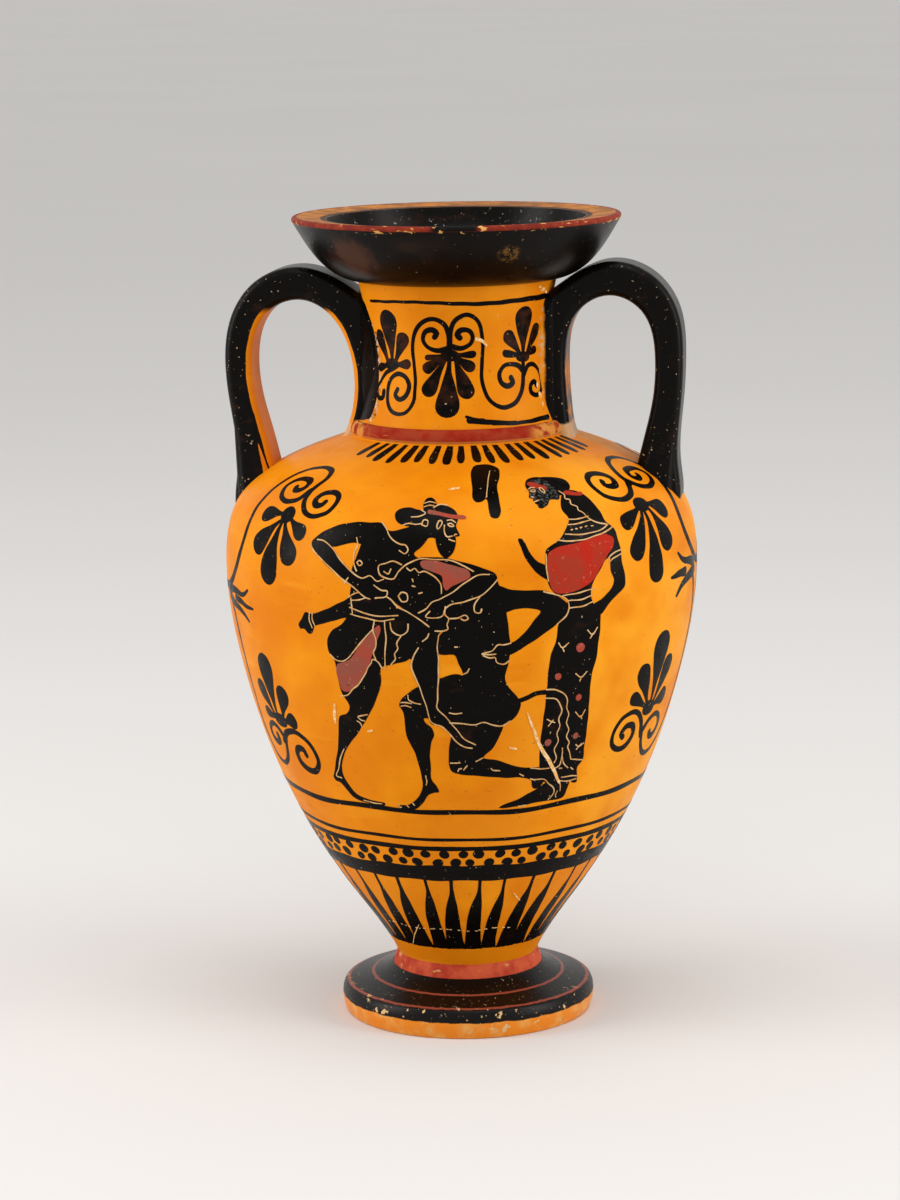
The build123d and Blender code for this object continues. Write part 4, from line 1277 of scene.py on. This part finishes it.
WOMAN_HEAD = ((45.6, 120.0), 14.6, 12.0, True)
WOMAN_BLACK = (
    ("loop", [(44.3, 72), (43.4, 65), (42, 60), (41.4, 50), (41, 40), (40.9, 30), (41.3, 22), (42, 17),
        (46, 13), (50, 12), (53, 13), (56.4, 12.4), (58.6, 10.7), (60.9, 10.6), (60.6, 12.4), (59.6, 16.8),
        (61.4, 19.4), (60.8, 24), (60.4, 30), (59.9, 38), (59.4, 45), (59.1, 52), (60, 57), (60.4, 64),
        (60.9, 70), (60.2, 75), (56, 78), (50, 79), (46, 77)]),
    ("loop", [(26, 3.3), (27.4, 4.3), (33, 5.8), (38, 8), (42, 9.9), (45.6, 12), (50, 13.4), (56.6, 12.4),
        (56.5, 8), (55.4, 5.2), (50, 4.4), (44, 4.2), (36, 3.2)]),
    ("loop", [(40.4, 96.8), (42, 98), (45, 99.4), (48, 102), (50.4, 104.8), (51.6, 107), (50.4, 111),
        (54, 118), (58.6, 119), (62.6, 116.6), (64.4, 113), (65.9, 108), (66.5, 104.4), (69.3, 101.4),
        (69.9, 98), (69.9, 92), (66.6, 91.8), (63, 91.4), (60.4, 88.2), (57.4, 84), (56.6, 80), (57.8, 76),
        (52, 74), (47.4, 76), (47.6, 79.4), (43, 82), (40.6, 86), (40, 91)]),
    ("loop", [(66, 94), (69.9, 95.6), (70.2, 90), (71.2, 84.4), (71, 81.6), (68, 79.4), (64, 76.4),
        (60.6, 73), (57, 74.4), (57.6, 76.6), (61.4, 78.7), (65, 81.6), (66, 84.4), (64.8, 88)]),
    ("loop", [(31.1, 101), (32.3, 100.9), (34.6, 96.6), (37, 93.4), (40.6, 91.2), (40.8, 87), (37, 89.4),
        (34, 93), (31.9, 97.6)]),
    ("loop", placed(PROFILE, *WOMAN_HEAD)),
    ("loop", [(40.8, 124.6), (44, 126.3), (50, 127.1), (56.4, 126.4), (60.1, 124.2), (60, 121.4),
        (57, 118.6), (51, 117), (45, 121)]),
)
WOMAN_RED = (
    [(41, 95.6), (44, 97.2), (48, 97.9), (53, 98.1), (58, 99.3), (62, 99.9), (65.4, 99.6), (68, 98),
        (67.2, 95.6), (64, 92.8), (60.6, 89.2), (58, 85.6), (54.4, 83.2), (50, 81.9), (46, 81.5),
        (42.8, 82.6), (41.3, 85.4), (40.8, 90)],
    [(41, 124.4), (43.2, 124.7), (46, 123.2), (48.6, 121.6), (48, 120.2), (44.6, 121), (41.2, 122.9)],
    [(54.6, 118.2), (56.6, 118.8), (60, 117.6), (63, 117.2), (62.4, 115.9), (58, 116.2), (55, 117.2)],
)
WOMAN_LINES = (
    [(51, 106.8), (55, 106.3), (60, 106.9)], [(50.6, 104.8), (55, 104.7), (60.4, 105.4)],
    [(48.4, 101.6), (53, 100.9), (60, 100.9), (65, 101.9), (67, 102.9)],
    [(45.4, 99.8), (50, 99), (55, 98.9), (62, 99.9), (66.6, 101), (68.6, 101.9)],
    [(51.2, 102.8), (51.8, 102.9)], [(53.1, 103), (53.7, 103)], [(55, 103.1), (55.7, 103.2)],
    [(57.2, 103.2), (57.9, 103.3)], [(59.8, 103.2), (60.6, 103.2)],
    [(53, 119), (54.3, 117), (53.7, 115.3), (55.5, 114.5), (55.1, 112.6), (57, 111.2), (56.8, 109.8),
        (58.5, 108.4), (59.4, 106.5), (61.2, 104.9), (63.2, 103.9), (67, 102.9)],
    [(45.6, 80.8), (52, 81.3), (58, 82.3)], [(48, 78.9), (53, 79), (57, 80)], [(48, 76.4), (53, 76.6),
        (57.4, 77.8)],
    [(43.6, 71.2), (47, 74), (48.1, 77), (47.4, 79.4), (43, 81.7), (39, 83)],
    [(64, 91.6), (66, 92.9), (68, 93.7), (70, 94)], [(64.4, 90.4), (66.5, 91.6), (70, 92.7)],
    [(40.2, 95.5), (40.3, 91), (40.7, 86.5)],
    [(55.6, 68.2), (57.5, 66.5), (59.6, 68.9)], [(57.8, 66.8), (56.6, 65.2)],
    [(44.5, 64.7), (46.1, 63), (48.3, 64.4)], [(46.1, 63), (46.8, 61.6)],
    [(52.3, 53.2), (54.8, 51.6), (56.8, 53.2)], [(54.8, 51.6), (54.3, 50.2)],
    [(54, 38.5), (56.5, 36.4), (58.2, 38.7)], [(56.5, 36.8), (57, 35.6)],
    [(42.4, 37.2), (44, 36.2), (45.6, 35.6)], [(43.2, 34.6), (44.8, 36.6)],
    [(56.4, 25.8), (58, 24.9), (60, 26)], [(57.2, 24), (59, 25.9)],
    [(55.4, 20.3), (58, 20), (61, 19.5)], [(48, 17), (50.6, 18.5), (51.1, 21.5), (50.6, 25)],
    [(51.3, 21.6), (52.6, 18.8), (54.8, 17)], [(52.6, 13.5), (57, 13.6), (60.2, 13.2)],
    [(52, 12.1), (56, 11.7), (60.2, 12.1)], [(56.3, 16.9), (57.6, 16.1)], [(50.8, 17.2), (51.9, 17.2)],
    [(51.8, 12.4), (52.6, 10), (53, 8)], [(51.6, 8), (51.1, 6.7), (51.6, 5.6)],
    closed(placed(EYE, *WOMAN_HEAD)), placed(BROW, *WOMAN_HEAD), placed(MOUTH, *WOMAN_HEAD),
    placed(NOSTRIL, *WOMAN_HEAD), closed(placed(EAR, *WOMAN_HEAD)),
)
CLOTH = (
    ("loop", [(17.2, 134), (19, 136.8), (23, 137.8), (28, 137.2), (31, 134.4), (30.2, 130), (27.7, 124.6),
        (26.6, 118), (26, 111.2), (24.4, 108.9), (22.2, 109.4), (21.7, 113), (21.3, 117.6), (19.4, 116.4),
        (17.2, 116.1), (15.9, 118.4), (16.4, 124), (16.4, 129.4)]),
)
CLOTH_LINES = ([(26, 133), (24.6, 128.6), (23.2, 124.4), (21.7, 118.4)],)

figure("beast", BEAST_BLACK, BEAST_LINES, BEAST_RED, PINK_LOOK)
figure("hero", HERO_BLACK, HERO_LINES, HERO_RED, PINK_LOOK)
figure("woman", WOMAN_BLACK, WOMAN_LINES, WOMAN_RED, RED_LOOK)
figure("cloth", CLOTH, CLOTH_LINES)
dress_spots("woman")

# On the back the woman stands twice, face to face across the middle.
APART = 24
for name, aside, flip in (("back_left_figure", -APART, False), ("back_right_figure", APART, True)):
    shift = TURN / 2 + aside
    figure(name, WOMAN_BLACK, WOMAN_LINES, WOMAN_RED, RED_LOOK, shift, flip)
    dress_spots(name, shift, flip)


# ---------------------------------------------------------------- wear

def scratches():
    """Scuffs and scratches across the pictures, and the broken crack above the foot."""
    paint = Paint(BODY, lift=SCRATCH_LIFT)
    paint.stroke(curve([(34.5, 40), (38, 33), (41, 27), (46, 20), (50, 14), (52, 11)]),
                 lambda t: 0.5 + 2.6 * t * (1 - t) ** 0.5)
    for width, line in (
        (1.1, [(-38.5, 42), (-39.4, 38.5), (-40, 35)]),
        (0.8, [(28.6, 27.4), (31.4, 26.8)]),
        (0.7, [(-26, 33.2), (-24, 33.8)]),
        (0.5, [(-48, -66), (-41, -61.5), (-36, -58.6), (-30, -55)]),
        (0.6, [(42, -38), (45, -40.4), (48, -42)]),
        (1, [(6.2, 122.4), (8.4, 122.9), (10.6, 123.2)]),
    ):
        paint.stroke(curve(line), lambda t: width * (0.6 + 0.6 * math.sin(math.pi * t)))
    count, first, pitch, crack_up, crack_width = 24, -65, 4.8, -56.5, 0.28
    for i in range(count):
        start = first + i * pitch + 1.3 * math.sin(i * 2.3)
        up = crack_up + 0.5 * math.sin(i * 0.7)
        length = 1.5 + 1.2 * math.sin(i * 3.1) ** 2
        paint.stroke(curve([(start, up), (start + length, up - 0.1)]), crack_width)
    paint.build("scratches", WEAR_LOOK)


def face_wear():
    """What is left of the white on the woman's face."""
    paint = Paint(BODY, lift=WHITE_LIFT)
    paint.fill(loop(placed(np.array(PROFILE) * (0.93, 0.90) + (0.012, 0.03), *WOMAN_HEAD), 0.8))
    paint.build("woman_worn_white", FLESH_LOOK)


scratches()
face_wear()


# ---------------------------------------------------------------- floor, light and camera

def stage_floor():
    """A plain pale floor, just below the foot."""
    mesh = bpy.data.meshes.new("floor")
    size, level, count = 30.0, -0.0002, 64
    angles = [2 * math.pi * i / count for i in range(count)]
    ring = [(size * math.cos(angle), size * math.sin(angle), level) for angle in angles]
    mesh.from_pydata(ring, [], [tuple(range(count))])
    s = Shader("floor", roughness=0.9, specular=0.1)
    s.finish(s.mix(s.noise(900, 2), (0.70, 0.69, 0.68), (0.74, 0.73, 0.72)))
    mesh.materials.append(s.material)
    made = bpy.data.objects.new("floor", mesh)
    bpy.context.scene.collection.objects.link(made)


def area_light(name, place, aim, size, power, colour=(1, 1, 1)):
    data = bpy.data.lights.new(name, "AREA")
    data.shape = "RECTANGLE"
    data.size, data.size_y = size
    data.energy = power
    data.color = colour
    made = bpy.data.objects.new(name, data)
    made.location = place
    made.rotation_euler = (Vector(aim) - Vector(place)).to_track_quat("-Z", "Y").to_euler()
    bpy.context.scene.collection.objects.link(made)


def lighting():
    """Soft studio light: two tall side panels, one panel above and a pale room."""
    world = bpy.data.worlds.new("studio")
    world.use_nodes = True
    back = world.node_tree.nodes["Background"]
    back.inputs["Color"].default_value = (1.0, 0.985, 0.97, 1)
    back.inputs["Strength"].default_value = 0.75
    bpy.context.scene.world = world
    aim = (0, 0, 0.15)
    area_light("left_window", (-1.45, -0.45, 0.7), aim, (0.7, 1.3), 13, (1, 0.985, 0.96))
    area_light("right_window", (1.45, -0.35, 0.65), aim, (0.7, 1.3), 11, (1, 0.985, 0.96))
    area_light("top_soft", (0.1, -0.5, 1.5), aim, (1.0, 1.0), 6)
    bpy.context.scene.view_settings.view_transform = "Standard"


def camera():
    """The view from a little to the right and above."""
    data = bpy.data.cameras.new("camera")
    data.lens = 108.0
    data.sensor_width = 36.0
    data.clip_start, data.clip_end = 0.05, 100.0
    made = bpy.data.objects.new("camera", data)
    bpy.context.scene.collection.objects.link(made)
    turn, tilt, roll = math.radians(8.0), math.radians(10.5), math.radians(-0.94)
    distance, height, aside = 1.256, 0.381, 0.00435
    made.location = (
        distance * math.sin(turn) - aside * math.cos(turn),
        -distance * math.cos(turn) - aside * math.sin(turn),
        height,
    )
    made.rotation_euler = (
        Euler((math.pi / 2 - tilt, 0, turn), "XYZ").to_matrix() @ Euler((0, 0, roll), "XYZ").to_matrix()
    ).to_euler()
    bpy.context.scene.camera = made


stage_floor()
lighting()
camera()
